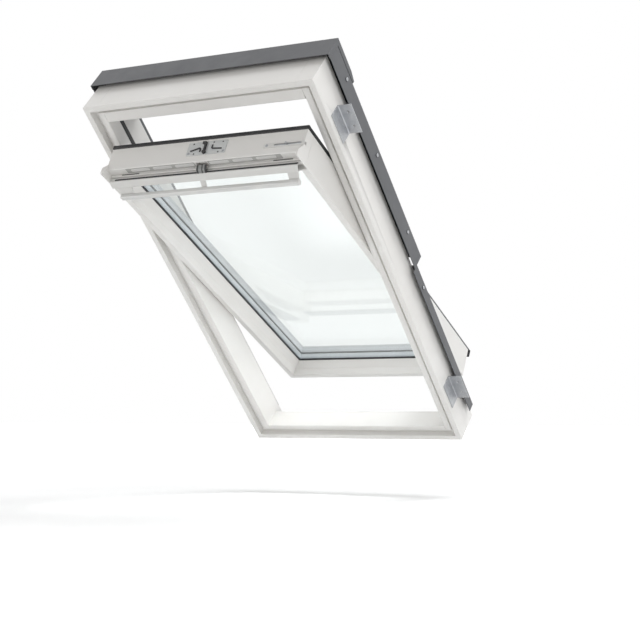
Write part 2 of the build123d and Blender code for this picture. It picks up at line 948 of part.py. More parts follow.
with BuildPart() as sash_cover_bottom:
    drip_low = sash_cover_top - drip_height
    drip_v = sash_bottom - sash_cover_drip
    lip_v = sash_bottom + glazing_lip
    with BuildSketch(rail_plane(sash, 0)):
        with BuildLine():
            Polyline(
                (drip_v, drip_low),
                (drip_v, sash_cover_top),
                (lip_v, sash_cover_top),
                (lip_v, cover_seat_n),
                (lip_v - sheet, cover_seat_n),
                (lip_v - sheet, sash_cover_top - sheet),
                (sash_bottom + sheet, sash_cover_top - sheet),
                (sash_bottom + sheet, sash_outer_face),
                (sash_bottom, sash_outer_face),
                (sash_bottom, sash_cover_top - sheet),
                (drip_v + sheet, sash_cover_top - sheet),
                (drip_v + sheet, drip_low),
                close=True,
            )
        make_face()
    extrude(amount=sash_half, both=True)
    for side in side_names:
        split(bisect_by=lower_mitre(side), keep=Keep.BOTTOM)
sash_cover_bottom.part.label = "sash_cover_bottom"
export_step(sash_cover_bottom.part, "parts/sash_cover_bottom.step")

with BuildPart() as top_cover:
    lip_v = mitre_top - glazing_lip
    edge_v = sash_top - gasket_width
    with BuildSketch(rail_plane(sash, 0)):
        with BuildLine():
            Polyline(
                (edge_v, sash_outer_face),
                (edge_v, sash_cover_top),
                (lip_v, sash_cover_top),
                (lip_v, cover_seat_n),
                (lip_v + sheet, cover_seat_n),
                (lip_v + sheet, sash_cover_top - sheet),
                (edge_v - sheet, sash_cover_top - sheet),
                (edge_v - sheet, sash_outer_face),
                close=True,
            )
        make_face()
    extrude(amount=sash_half - gasket_width, both=True)
    for side in side_names:
        split(bisect_by=upper_mitre(side), keep=Keep.BOTTOM)
    with BuildSketch(face_plane(sash, sash_cover_top)):
        with Locations((-duct_x, duct_v), (duct_x, duct_v)):
            SlotOverall(2 * duct_half_length, duct_height / 2)
    extrude(amount=sheet, mode=Mode.SUBTRACT)
top_cover.part.label = "sash_cover_top"
export_step(top_cover.part, "parts/sash_cover_top.step")

# Weather gasket: across the top and down both upper halves
with BuildPart() as sash_gasket:
    gasket_end = sash_top + gasket_top_proud
    with BuildSketch(rail_plane(sash, 0)):
        with BuildLine():
            FilletPolyline(
                (sash_top - gasket_width, sash_outer_face),
                (sash_top, sash_outer_face),
                (gasket_end, sash_outer_face + gasket_top_proud),
                (gasket_end, gasket_high),
                (sash_top - gasket_width, gasket_high),
                radius=(0, 0, gasket_round, 2 * gasket_round, gasket_round),
                close=True,
            )
        make_face()
    extrude(amount=sash_half, both=True)
    side_from = pivot_v + gasket_above_pivot
    for side in side_names:
        outer = side * (sash_half + gasket_proud)
        with BuildSketch(across_plane(sash, side_from)):
            with BuildLine():
                FilletPolyline(
                    (side * sash_half, sash_outer_face),
                    (outer, sash_outer_face + gasket_top_proud),
                    (outer, gasket_high - gasket_proud),
                    (side * (sash_half - gasket_width), gasket_high - gasket_proud),
                    (side * (sash_half - gasket_width), sash_outer_face),
                    radius=(0, gasket_proud, gasket_round, gasket_round, 0),
                    close=True,
                )
            make_face()
        extrude(amount=sash_top - side_from)
sash_gasket.part.label = "sash_gasket"
export_step(sash_gasket.part, "parts/sash_gasket.step")


# Aluminium covers of the frame
def build_frame_cover(label, side, from_v, to_v, top_n, seat_n, skirt_n):
    """Folded cover on a jamb: top plate, inner leg where it is raised, skirt."""
    outer = side * (half + cover_overhang)
    inner = side * (half - jamb_width + cover_inset)
    with BuildPart() as cover:
        with BuildSketch(across_plane(frame, from_v)):
            with BuildLine():
                if top_n - sheet > seat_n:
                    Polyline(
                        (outer, skirt_n),
                        (outer, top_n),
                        (inner, top_n),
                        (inner, seat_n),
                        (inner + side * sheet, seat_n),
                        (inner + side * sheet, top_n - sheet),
                        (outer - side * sheet, top_n - sheet),
                        (outer - side * sheet, skirt_n),
                        close=True,
                    )
                else:
                    Polyline(
                        (outer, skirt_n),
                        (outer, top_n),
                        (inner, top_n),
                        (inner, top_n - sheet),
                        (outer - side * sheet, top_n - sheet),
                        (outer - side * sheet, skirt_n),
                        close=True,
                    )
            make_face()
        extrude(amount=to_v - from_v)
    cover.part.label = label
    export_step(cover.part, f"parts/{label}.step")


step_v = pivot_v - upstand_below_pivot
for side, name in side_names.items():
    build_frame_cover(
        f"cover_upper_{name}",
        side,
        step_v,
        height,
        upper_cover_top,
        upstand_top,
        upper_cover_top - upper_skirt,
    )
    build_frame_cover(
        f"cover_lower_{name}",
        side,
        sill_height,
        step_v,
        jamb_depth + sheet,
        jamb_depth,
        jamb_depth + sheet - lower_skirt,
    )

with BuildPart() as cover_bottom:
    bottom_skirt_low = sill_depth + sheet - bottom_skirt
    with BuildSketch(rail_plane(frame, 0)):
        with BuildLine():
            Polyline(
                (-cover_overhang, bottom_skirt_low),
                (-cover_overhang, sill_depth + sheet),
                (sill_height - bottom_cover_lap, sill_depth + sheet),
                (sill_height - bottom_cover_lap, sill_depth),
                (sheet - cover_overhang, sill_depth),
                (sheet - cover_overhang, bottom_skirt_low),
                close=True,
            )
        make_face()
    extrude(amount=half - jamb_width, both=True)
cover_bottom.part.label = "cover_bottom"
export_step(cover_bottom.part, "parts/cover_bottom.step")

with BuildPart() as hood_top:
    hood_v = height + hood_top_overhang
    with BuildSketch(rail_plane(frame, 0)):
        with BuildLine():
            Polyline(
                (hood_lip_v, hood_lip_low),
                (hood_lip_v, hood_lip_high),
                (hood_ridge_v, hood_ridge_n),
                (hood_v, hood_ridge_n),
                (hood_v, hood_skirt_low),
                (hood_v - sheet, hood_skirt_low),
                (hood_v - sheet, hood_ridge_n - sheet),
                (hood_ridge_v, hood_ridge_n - sheet),
                (hood_lip_v + sheet, hood_lip_high - sheet),
                (hood_lip_v + sheet, hood_lip_low),
                close=True,
            )
        make_face()
    extrude(amount=half + cover_overhang, both=True)
    for side in side_names:
        end = side * (half + cover_overhang)
        with BuildSketch(rail_plane(frame, end)):
            with BuildLine():
                Polyline(
                    (hood_lip_v, hood_lip_low),
                    (hood_lip_v, hood_lip_high),
                    (hood_ridge_v, hood_ridge_n),
                    (hood_v, hood_ridge_n),
                    (hood_v, hood_skirt_low),
                    (height, hood_skirt_low),
                    (height, hood_lip_low),
                    close=True,
                )
            make_face()
        extrude(amount=side * sheet)
hood_top.part.label = "hood_top"
export_step(hood_top.part, "parts/hood_top.step")

clip_width = 30.0
clip_x = 180.0
clip_sheet = 2.0
clip_foot = 16.0
clip_top = hood_ridge_n - sheet
with BuildPart() as hood_clips:
    for side in side_names:
        with BuildSketch(rail_plane(frame, side * clip_x)):
            with BuildLine():
                back = height - clip_foot
                Polyline(
                    (back - clip_foot, upstand_top),
                    (back, upstand_top),
                    (back, clip_top - clip_sheet),
                    (height, clip_top - clip_sheet),
                    (height, clip_top),
                    (back - clip_sheet, clip_top),
                    (back - clip_sheet, upstand_top + clip_sheet),
                    (back - clip_foot, upstand_top + clip_sheet),
                    close=True,
                )
            make_face()
        extrude(amount=clip_width / 2, both=True)
hood_clips.part.label = "hood_clips"
export_step(hood_clips.part, "parts/hood_clips.step")

# Ventilation channel: comb of ribs on either side of the link, and two filters
comb_steps = (0.5, 1.5, 2.5)
comb_half = duct_x - duct_half_length
comb_pitch = comb_half / len(comb_steps)
comb_thickness = 3.0
comb_height = rib_height
comb_base = 1.0
with BuildPart() as vent_comb:
    comb_width = channel_width - 2 * channel_radius
    comb_n = (vent_room_wall + vent_outer_wall) / 2
    with BuildSketch(across_plane(sash, vent_floor)):
        with Locations((0, comb_n)):
            Rectangle(2 * comb_half, comb_width)
        with Locations((link_x, comb_n)):
            Rectangle(2 * pocket_half, comb_width, mode=Mode.SUBTRACT)
    extrude(amount=comb_base)
    with BuildSketch(across_plane(sash, vent_floor + comb_base)):
        for side in side_names:
            for step in comb_steps:
                with Locations((side * step * comb_pitch, comb_n)):
                    Rectangle(comb_thickness, comb_width)
    extrude(amount=comb_height - comb_base)
vent_comb.part.label = "vent_comb"
export_step(vent_comb.part, "parts/vent_comb.step")

filter_depth = 5.0
with BuildPart() as vent_filters:
    with BuildSketch(across_plane(sash, vent_floor)):
        with Locations(*duct_places):
            Rectangle(2 * duct_half_length, duct_width)
    extrude(amount=-filter_depth)
vent_filters.part.label = "vent_filters"
export_step(vent_filters.part, "parts/vent_filters.step")

# Ventilation flap, drawn as it hangs open
flap_half = sash_half - cheek_thickness - flap_end_gap
hinge = Vector(flap_hinge_v, flap_hinge_n)
edge = Vector(flap_edge_v, flap_edge_n)
strip = Vector(flap_strip_v, flap_strip_n)
leaf_way = (edge - hinge).normalized()
strip_way = (strip - edge).normalized()
leaf_back = Vector(-leaf_way.Y, leaf_way.X)
strip_back = Vector(strip_way.Y, -strip_way.X) * flap_sheet


with BuildPart() as vent_flap:
    with BuildSketch(rail_plane(sash, 0)):
        with BuildLine():
            section = FilletPolyline(hinge, edge, strip, radius=flap_sheet / 2)
            offset(section, amount=flap_sheet, side=Side.RIGHT)
        make_face()
        with Locations(hinge):
            Circle(flap_bead / 2)
    extrude(amount=flap_half, both=True)
    slant_x = flap_half - flap_right_inset
    slant_start = point(sash, slant_x, flap_hinge_v, flap_hinge_n)
    slant_end = point(sash, slant_x - flap_right_slant, flap_hinge_v, flap_edge_n)
    slant = Plane(slant_start, x_dir=sash_up, z_dir=(slant_end - slant_start).cross(sash_up))
    split(bisect_by=slant, keep=Keep.TOP)
    for side in side_names:
        with BuildSketch(rail_plane(sash, side * flap_half)):
            with Locations((flap_hinge_v, flap_hinge_n)):
                Circle(flap_bead / 2)
        extrude(amount=side * 2 * flap_right_slant)
        with BuildSketch(rail_plane(sash, side * flap_half)):
            with Locations((flap_hinge_v, flap_hinge_n)):
                Circle(flap_pin_diameter / 2)
        extrude(amount=-side * (flap_end_gap + cheek_thickness))
vent_flap.part.label = "vent_flap"
export_step(vent_flap.part, "parts/vent_flap.step")

with BuildPart() as flap_gasket:
    with BuildSketch(rail_plane(sash, 0)):
        with BuildLine():
            gasket_low = edge - leaf_way * flap_gasket_inset
            gasket_up = gasket_low - leaf_way * flap_gasket_width
            Polyline(
                gasket_low,
                gasket_low + leaf_back * flap_gasket_thickness,
                gasket_up + leaf_back * flap_gasket_thickness,
                gasket_up,
                close=True,
            )
        make_face()
    extrude(amount=slant_x - flap_right_slant, both=True)
flap_gasket.part.label = "flap_gasket"
export_step(flap_gasket.part, "parts/flap_gasket.step")

# Control bar: hollow extrusion with end caps, carried by three brackets
bar_radius = 3.0
bar_cap = 2.5
with BuildPart() as control_bar:
    with BuildSketch(rail_plane(sash, 0)):
        with Locations((bar_v, bar_n)):
            RectangleRounded(bar_height, bar_depth, bar_radius)
            RectangleRounded(
                bar_height - 2 * bar_wall,
                bar_depth - 2 * bar_wall,
                bar_radius - bar_wall,
                mode=Mode.SUBTRACT,
            )
    extrude(amount=bar_half_length, both=True)
control_bar.part.label = "control_bar"
export_step(control_bar.part, "parts/control_bar.step")

with BuildPart() as bar_caps:
    for side in side_names:
        with BuildSketch(rail_plane(sash, side * bar_half_length)):
            with Locations((bar_v, bar_n)):
                RectangleRounded(bar_height, bar_depth, bar_radius)
        extrude(amount=-side * bar_cap)
bar_caps.part.label = "bar_caps"
export_step(bar_caps.part, "parts/bar_caps.step")

bracket_arm = 3.0
arm_lap = 10.0
left_arm_width = 33.0
left_arm_reach = 22.0
middle_arm_width = 14.0
middle_arm_x = -10.0
right_arm_width = 26.0
right_arm_reach = 4.0


def build_arm(name, from_x, to_x, side=0, reach=0.0):
    """Arm from behind the flap's strip to the back of the control bar.

    An end arm reaches past the bar's end at the strip; its outer edge slants."""
    lap = strip - strip_way * arm_lap + strip_back
    back = bar_n + bar_depth / 2
    arm_back = strip_back * (bracket_arm / flap_sheet)
    with BuildPart() as arm:
        with BuildSketch(rail_plane(sash, from_x)):
            with BuildLine():
                Polyline(
                    lap,
                    strip + strip_back,
                    (bar_v + bar_height / 2 - bar_radius, back),
                    (bar_v - bar_height / 2 + bar_radius, back),
                    strip + strip_back + arm_back,
                    lap + arm_back,
                    close=True,
                )
            make_face()
        extrude(amount=from_x - to_x)
        if side:
            at_strip = point(sash, side * (bar_half_length + reach), flap_strip_v, flap_strip_n)
            at_bar = point(sash, side * bar_half_length, bar_v, flap_strip_n)
            slant_way = (at_bar - at_strip).cross(sash_out) * side
            split(bisect_by=Plane(at_strip, x_dir=sash_out, z_dir=slant_way), keep=Keep.BOTTOM)
    arm.part.label = f"bar_arm_{name}"
    export_step(arm.part, f"parts/bar_arm_{name}.step")


build_arm(
    "left",
    -bar_half_length - left_arm_reach,
    left_arm_width - bar_half_length,
    side=-1,
    reach=left_arm_reach,
)
build_arm("middle", middle_arm_x - middle_arm_width / 2, middle_arm_x + middle_arm_width / 2)
build_arm(
    "right",
    bar_half_length - right_arm_width,
    bar_half_length + right_arm_reach,
    side=1,
    reach=right_arm_reach,
)

# Link that hooks over the channel towards the lock
with BuildPart() as flap_link:
    with BuildSketch(rail_plane(sash, link_x - link_width / 2)):
        with BuildLine():
            foot = hinge + leaf_way * link_foot
            knee = foot + leaf_back * link_rise
            link_path = FilletPolyline(
                foot,
                knee,
                hinge + Vector(link_end_v, link_end_n),
                radius=2 * link_sheet,
            )
            offset(link_path, amount=link_sheet, side=Side.LEFT)
        make_face()
    extrude(amount=-link_width)
flap_link.part.label = "flap_link"
export_step(flap_link.part, "parts/flap_link.step")

# Lock case on the sash's top face, its springs and the latch lever
with BuildPart() as lock_case:
    with BuildSketch(top_face_plane(lock_x, lock_from + lock_depth / 2, 0)):
        RectangleRounded(lock_width, lock_depth, edge_radius)
    extrude(amount=lock_plate)
    cut_screw_seats(lock_screw_places)
    with Locations(top_face_plane(lever_x, lever_n, 0)):
        Cylinder(lever_pin / 2 + pin_fit, 4 * lock_plate, mode=Mode.SUBTRACT)
lock_case.part.label = "lock_case"
export_step(lock_case.part, "parts/lock_case.step")

spring_wire = 2.0
spring_rise = 1.8
spring_bend = 3.0
spring_reach = 28.0
left_spring_x = 13.0
left_spring_up = 14.0
left_spring_leg = 12.0
left_spring_fall = 8.0
right_spring_x = 20.0
right_spring_up = 9.0
right_spring_leg = 10.0
right_spring_fall = 2.0
with BuildPart() as lock_springs:
    with BuildSketch(top_face_plane(lever_x, 0, lock_plate)):
        with BuildLine():
            left_bend = Vector(-left_spring_x, lever_n + left_spring_up)
            left_spring = FilletPolyline(
                left_bend - Vector(0, left_spring_leg),
                left_bend,
                left_bend - Vector(spring_reach, left_spring_fall),
                radius=spring_bend,
            )
        trace(left_spring, line_width=spring_wire)
        with BuildLine():
            right_bend = Vector(right_spring_x, lever_n + right_spring_up)
            right_spring = FilletPolyline(
                right_bend + Vector(0, right_spring_leg),
                right_bend,
                right_bend + Vector(spring_reach, -right_spring_fall),
                radius=spring_bend,
            )
        trace(right_spring, line_width=spring_wire)
    extrude(amount=spring_rise)
lock_springs.part.label = "lock_springs"
export_step(lock_springs.part, "parts/lock_springs.step")

with BuildPart() as latch_lever:
    with BuildSketch(top_face_plane(lever_x, lever_n, lock_plate + lever_gap)):
        Circle(lever_hub / 2)
        with Locations((0, lever_length / 2)):
            Rectangle(lever_width, lever_length)
        with Locations((-lever_width / 2 - lever_toe / 2, lever_length - lever_toe_width / 2)):
            Rectangle(lever_toe, lever_toe_width)
    extrude(amount=lever_thickness)
    with BuildSketch(top_face_plane(lever_x, lever_n, lock_plate + lever_gap)):
        Circle(lever_pin / 2)
    extrude(amount=-top_screw_length)
    tip_v = sash_top + lock_plate + lever_gap + lever_thickness / 2
    tip = point(sash, lever_x + lever_width / 2, tip_v, lever_n + lever_length)
    fillet(near(latch_lever, tip), edge_radius)
latch_lever.part.label = "latch_lever"
export_step(latch_lever.part, "parts/latch_lever.step")

# Barrel bolt in its groove, under a slotted guide plate
slot_width = 6.0
slot_back = 2.0
slot_end = 8.0
with BuildPart() as bolt_guide:
    with BuildSketch(top_face_plane(guide_x, bolt_n, 0)):
        RectangleRounded(guide_length, guide_width, edge_radius)
        slot_from = bolt_x - bolt_length / 2 + slot_back
        slot_to = sash_half - slot_end
        with Locations(((slot_from + slot_to) / 2 - guide_x, 0)):
            SlotOverall(slot_to - slot_from, slot_width, mode=Mode.SUBTRACT)
    extrude(amount=guide_plate)
    cut_screw_seats([guide_screw_place])
bolt_guide.part.label = "bolt_guide"
export_step(bolt_guide.part, "parts/bolt_guide.step")

with BuildPart() as barrel_bolt:
    with BuildSketch(rail_plane(sash, bolt_x)):
        with Locations((bolt_v, bolt_n)):
            Circle(bolt_diameter / 2)
    extrude(amount=bolt_length / 2, both=True)
    ends = barrel_bolt.faces().sort_by(Axis.X)
    chamfer(ends[-1].edges(), bolt_diameter / 6)
    with BuildSketch(Plane(point(sash, knob_x, bolt_v, bolt_n), x_dir=across, z_dir=sash_up)):
        Circle(knob_diameter / 2)
    extrude(amount=bolt_diameter / 2 + knob_reach)
barrel_bolt.part.label = "barrel_bolt"
export_step(barrel_bolt.part, "parts/barrel_bolt.step")

build_screws("sash_top_screws", [*lock_screw_places, guide_screw_place], top_screw_length)
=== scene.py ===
# %% [markdown]
# # A centre-pivot roof window
#
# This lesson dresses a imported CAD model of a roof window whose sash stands
# open on its pivots. The CAD model is the fixed frame of the work: it gives
# every size and place, and it is never moved. Blender adds the finishes, the
# small shapes that are too fine for CAD, the light and the camera.

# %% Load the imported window
import json
import math

import bmesh
import bpy
from mathutils import Matrix, Vector

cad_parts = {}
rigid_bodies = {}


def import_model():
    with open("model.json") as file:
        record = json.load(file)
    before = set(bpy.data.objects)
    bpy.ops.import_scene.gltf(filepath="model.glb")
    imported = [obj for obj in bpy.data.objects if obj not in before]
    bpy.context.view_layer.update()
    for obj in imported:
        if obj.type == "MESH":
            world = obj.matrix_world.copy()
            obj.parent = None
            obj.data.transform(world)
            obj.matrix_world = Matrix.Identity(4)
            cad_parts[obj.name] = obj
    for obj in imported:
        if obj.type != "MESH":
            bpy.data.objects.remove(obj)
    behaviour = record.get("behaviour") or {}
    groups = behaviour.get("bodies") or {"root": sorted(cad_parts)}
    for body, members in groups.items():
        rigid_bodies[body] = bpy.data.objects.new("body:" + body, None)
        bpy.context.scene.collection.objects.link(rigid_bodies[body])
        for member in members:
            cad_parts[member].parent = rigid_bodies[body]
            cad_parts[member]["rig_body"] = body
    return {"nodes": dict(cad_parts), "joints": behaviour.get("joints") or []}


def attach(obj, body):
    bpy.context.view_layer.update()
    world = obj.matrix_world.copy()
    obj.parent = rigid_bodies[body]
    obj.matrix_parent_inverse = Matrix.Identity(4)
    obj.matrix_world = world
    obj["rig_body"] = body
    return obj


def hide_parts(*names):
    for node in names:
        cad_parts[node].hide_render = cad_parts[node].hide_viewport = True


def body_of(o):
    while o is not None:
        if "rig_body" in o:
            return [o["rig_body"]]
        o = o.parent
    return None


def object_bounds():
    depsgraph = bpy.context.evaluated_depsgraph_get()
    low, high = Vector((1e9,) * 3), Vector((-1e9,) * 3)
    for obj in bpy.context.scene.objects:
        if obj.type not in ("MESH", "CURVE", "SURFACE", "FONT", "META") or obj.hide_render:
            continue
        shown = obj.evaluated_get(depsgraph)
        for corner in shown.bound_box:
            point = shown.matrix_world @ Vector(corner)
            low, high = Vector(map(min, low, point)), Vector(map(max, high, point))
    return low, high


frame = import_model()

nodes = frame["nodes"]
joints = {joint["name"]: joint for joint in frame["joints"]}
cad_low, cad_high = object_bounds()

# %% [markdown]
# ## Directions on a sloping window
#
# The window lies in a roof of 45 degrees, so its own directions are not the
# world's. Three values place anything on it: x across, v up the slope and n
# outwards, all in metres. The sash has turned about its pivots, and the
# latch's axis, which runs up the sash, tells by how much, so no angle is typed
# twice.

# %% Window directions
ROOF_PITCH = math.radians(45)
WINDOW_HEIGHT = 1.180
BRACKET_PLANE = 0.043
SASH_TOP_V = 1.082
PIVOT_V = 0.590
PIVOT_N = 0.092

frame_up = Vector((0, -math.cos(ROOF_PITCH), math.sin(ROOF_PITCH)))
frame_out = Vector((0, math.sin(ROOF_PITCH), math.cos(ROOF_PITCH)))
pivot = Vector(joints["sash_pivot"]["pos_m"])
sash_up = Vector(joints["latch_turn"]["axis"]).normalized()
sash_out = Vector((0, sash_up.z, -sash_up.y))
sash_pitch = math.atan2(sash_up.z, -sash_up.y)


def on_frame(x, v, n):
    """Place of a point on the fixed frame, in metres."""
    up, out = v - WINDOW_HEIGHT / 2, n - BRACKET_PLANE
    return Vector((x, 0, 0)) + frame_up * up + frame_out * out


def on_sash(x, v, n):
    """Place of a point on the open sash, in metres."""
    up, out = v - PIVOT_V, n - PIVOT_N
    return pivot + Vector((x, 0, 0)) + sash_up * up + sash_out * out


print("sash stands at", round(math.degrees(sash_pitch), 2), "degrees")

# %% [markdown]
# ## Noise in the piece's own directions
#
# A flat colour looks like plastic film. Real paint has slight changes of
# colour and gloss from patch to patch, and a fine surface under the light.
# All of these come from noise in object coordinates, which stays on a piece
# when it moves. A Mapping node stretches the noise where a grain is wanted.


# %% Helpers for noise
def stretched_coordinates(tree, stretch=(1, 1, 1), tilt=0):
    """Object coordinates turned into the member's directions, then scaled."""
    coordinates = tree.nodes.new("ShaderNodeTexCoord")
    turn = tree.nodes.new("ShaderNodeMapping")
    turn.inputs["Rotation"].default_value = (tilt, 0, 0)
    scale = tree.nodes.new("ShaderNodeMapping")
    scale.inputs["Scale"].default_value = stretch
    tree.links.new(coordinates.outputs["Object"], turn.inputs["Vector"])
    tree.links.new(turn.outputs["Vector"], scale.inputs["Vector"])
    return scale.outputs["Vector"]


def noise(tree, vector, scale, detail, distortion=0.0):
    """A noise texture's value."""
    texture = tree.nodes.new("ShaderNodeTexNoise")
    texture.inputs["Scale"].default_value = scale
    texture.inputs["Detail"].default_value = detail
    texture.inputs["Distortion"].default_value = distortion
    tree.links.new(vector, texture.inputs["Vector"])
    return texture.outputs["Fac"]


# %% [markdown]
# ## From noise to colour, gloss and bump
#
# Most of a noise lies near its middle, so its usual range is spread to the
# range that is wanted. It then mixes two close colours, sets the roughness or
# lifts the surface. Where sheet or timber turns a corner, a Bevel node in the
# shader rounds the edge for the light alone.

# %% Helpers for a shader
USUAL_LOW = 0.3
USUAL_HIGH = 0.7
EDGE_SAMPLES = 4


def new_material(name):
    """An empty node material with its shader wired to the output."""
    material = bpy.data.materials.new(name)
    material.use_nodes = True
    tree = material.node_tree
    tree.nodes.clear()
    output = tree.nodes.new("ShaderNodeOutputMaterial")
    shader = tree.nodes.new("ShaderNodeBsdfPrincipled")
    tree.links.new(shader.outputs["BSDF"], output.inputs["Surface"])
    return material, tree, shader


def spread(tree, value, low, high):
    """Maps the usual range of a noise to low..high."""
    remap = tree.nodes.new("ShaderNodeMapRange")
    remap.inputs["From Min"].default_value = USUAL_LOW
    remap.inputs["From Max"].default_value = USUAL_HIGH
    remap.inputs["To Min"].default_value = low
    remap.inputs["To Max"].default_value = high
    tree.links.new(value, remap.inputs["Value"])
    return remap.outputs["Result"]


def mix_colours(tree, factor, first, second):
    """A colour between two, chosen by the factor from place to place."""
    mix = tree.nodes.new("ShaderNodeMix")
    mix.data_type = "RGBA"
    mix.inputs["A"].default_value = (*first, 1)
    mix.inputs["B"].default_value = (*second, 1)
    tree.links.new(factor, mix.inputs["Factor"])
    return mix.outputs["Result"]


def add_bump(tree, shader, height, strength, distance, rounding=0.0):
    """Fine surface under the light; edges can look a little rounded as well."""
    bump = tree.nodes.new("ShaderNodeBump")
    if rounding:
        soft_edge = tree.nodes.new("ShaderNodeBevel")
        soft_edge.samples = EDGE_SAMPLES
        soft_edge.inputs["Radius"].default_value = rounding
        tree.links.new(soft_edge.outputs["Normal"], bump.inputs["Normal"])
    bump.inputs["Strength"].default_value = strength
    bump.inputs["Distance"].default_value = distance
    tree.links.new(height, bump.inputs["Height"])
    tree.links.new(bump.outputs["Normal"], shader.inputs["Normal"])


# %% [markdown]
# ## A finish with life in it
#
# Every opaque finish of the window is the same recipe: wide patches of two
# colours, smaller patches of gloss, and a fine grain for the bump. One helper
# makes it, and what differs from paint to rubber are its numbers.

# %% Recipe for a finish
PATCH_DETAIL = 4.0
GLOSS_DETAIL = 5.0
GLOSS_FINER = 4
GRAIN_DETAIL = 6.0
GRAIN_WANDER = 0.2
COAT_ROUGHNESS = 0.12
EDGE_ROUNDING = 0.0004


def make_finish(
    name,
    colour,
    second_colour,
    roughness,
    patch_scale,
    grain_scale,
    grain_strength,
    grain_depth,
    grain_stretch=(1, 1, 1),
    grain_tilt=0.0,
    metallic=0.0,
    coat=0.0,
):
    """Paint, metal or rubber: patchy colour and gloss over a fine bump."""
    material, tree, shader = new_material(name)
    shader.inputs["Metallic"].default_value = metallic
    shader.inputs["Coat Weight"].default_value = coat
    shader.inputs["Coat Roughness"].default_value = COAT_ROUGHNESS
    plain = stretched_coordinates(tree)
    patches = noise(tree, plain, patch_scale, PATCH_DETAIL)
    colours = mix_colours(tree, spread(tree, patches, 0, 1), colour, second_colour)
    tree.links.new(colours, shader.inputs["Base Color"])
    gloss = noise(tree, plain, patch_scale * GLOSS_FINER, GLOSS_DETAIL)
    tree.links.new(spread(tree, gloss, *roughness), shader.inputs["Roughness"])
    along = stretched_coordinates(tree, grain_stretch, grain_tilt)
    grain = noise(tree, along, grain_scale, GRAIN_DETAIL, GRAIN_WANDER)
    add_bump(tree, shader, grain, grain_strength, grain_depth, EDGE_ROUNDING)
    return material


# %% [markdown]
# ## White lacquer on timber
#
# The frame and sash are timber cores under several coats of white lacquer.
# Up close the lacquer still tells of the grain, as shallow lines along each
# member. Rails run across and stiles run up the slope, so there is one finish
# for each direction, and a third for the sash, which leans at its own angle.

# %% Lacquered timber
LACQUER = (0.80, 0.79, 0.77)
LACQUER_WARM = (0.77, 0.755, 0.73)
LONG_GRAIN = 0.035


def lacquer(name, stretch, tilt):
    """White lacquer whose grain runs where the stretch is small."""
    return make_finish(
        name,
        LACQUER,
        LACQUER_WARM,
        roughness=(0.30, 0.42),
        patch_scale=5.0,
        grain_scale=420.0,
        grain_strength=0.22,
        grain_depth=0.00025,
        grain_stretch=stretch,
        grain_tilt=tilt,
        coat=0.15,
    )


lacquer_across = lacquer("white_lacquer_across", (LONG_GRAIN, 1, 1), 0)
lacquer_frame_up = lacquer("white_lacquer_frame_up", (1, LONG_GRAIN, 1), ROOF_PITCH)
lacquer_sash_up = lacquer("white_lacquer_sash_up", (1, LONG_GRAIN, 1), sash_pitch)
print("lacquers:", lacquer_across.name, lacquer_frame_up.name, lacquer_sash_up.name)

# %% [markdown]
# ## Coated and anodised aluminium
#
# The ventilation flap and its arms are powder coated, and that skin has a very
# fine orange peel. The bar under the hand is anodised and drawn, so its grain
# runs along it. The outer covers are lacquered dark grey.

# %% Coated aluminium
powder_white = make_finish(
    "white_powder_coat",
    (0.73, 0.725, 0.705),
    (0.70, 0.695, 0.675),
    roughness=(0.34, 0.44),
    patch_scale=12.0,
    grain_scale=900.0,
    grain_strength=0.18,
    grain_depth=0.00012,
)
bar_aluminium = make_finish(
    "satin_anodised_aluminium",
    (0.66, 0.66, 0.645),
    (0.62, 0.62, 0.61),
    roughness=(0.38, 0.5),
    patch_scale=14.0,
    grain_scale=700.0,
    grain_strength=0.2,
    grain_depth=0.00012,
    grain_stretch=(0.03, 1, 1),
    metallic=0.25,
)
cover_grey = make_finish(
    "grey_lacquered_aluminium",
    (0.078, 0.081, 0.088),
    (0.096, 0.099, 0.106),
    roughness=(0.36, 0.5),
    patch_scale=7.0,
    grain_scale=700.0,
    grain_strength=0.15,
    grain_depth=0.00015,
    metallic=0.15,
    coat=0.1,
)
print("aluminium:", powder_white.name, bar_aluminium.name, cover_grey.name)

# %% [markdown]
# ## Moulded plastic
#
# End caps, comb, pads and the black lever are moulded. A mould leaves a matt
# skin that is finer than any paint, so the plastics share their grain and
# differ in colour and gloss.


# %% Plastics
def moulded(name, colour, second_colour, roughness, patch_scale, skin):
    """Plastic with the fine skin of its mould."""
    return make_finish(
        name,
        colour,
        second_colour,
        roughness=roughness,
        patch_scale=patch_scale,
        grain_scale=1500.0,
        grain_strength=skin,
        grain_depth=0.0001,
    )


moulded_white = moulded(
    "white_moulded_plastic",
    (0.72, 0.715, 0.70),
    (0.69, 0.685, 0.67),
    roughness=(0.45, 0.58),
    patch_scale=15.0,
    skin=0.12,
)
pad_white = moulded(
    "pale_moulded_pad",
    (0.69, 0.685, 0.67),
    (0.66, 0.655, 0.64),
    roughness=(0.4, 0.52),
    patch_scale=20.0,
    skin=0.12,
)
black_moulded = moulded(
    "black_moulded_plastic",
    (0.016, 0.016, 0.017),
    (0.024, 0.024, 0.025),
    roughness=(0.36, 0.5),
    patch_scale=30.0,
    skin=0.15,
)
print("plastics:", moulded_white.name, pad_white.name, black_moulded.name)
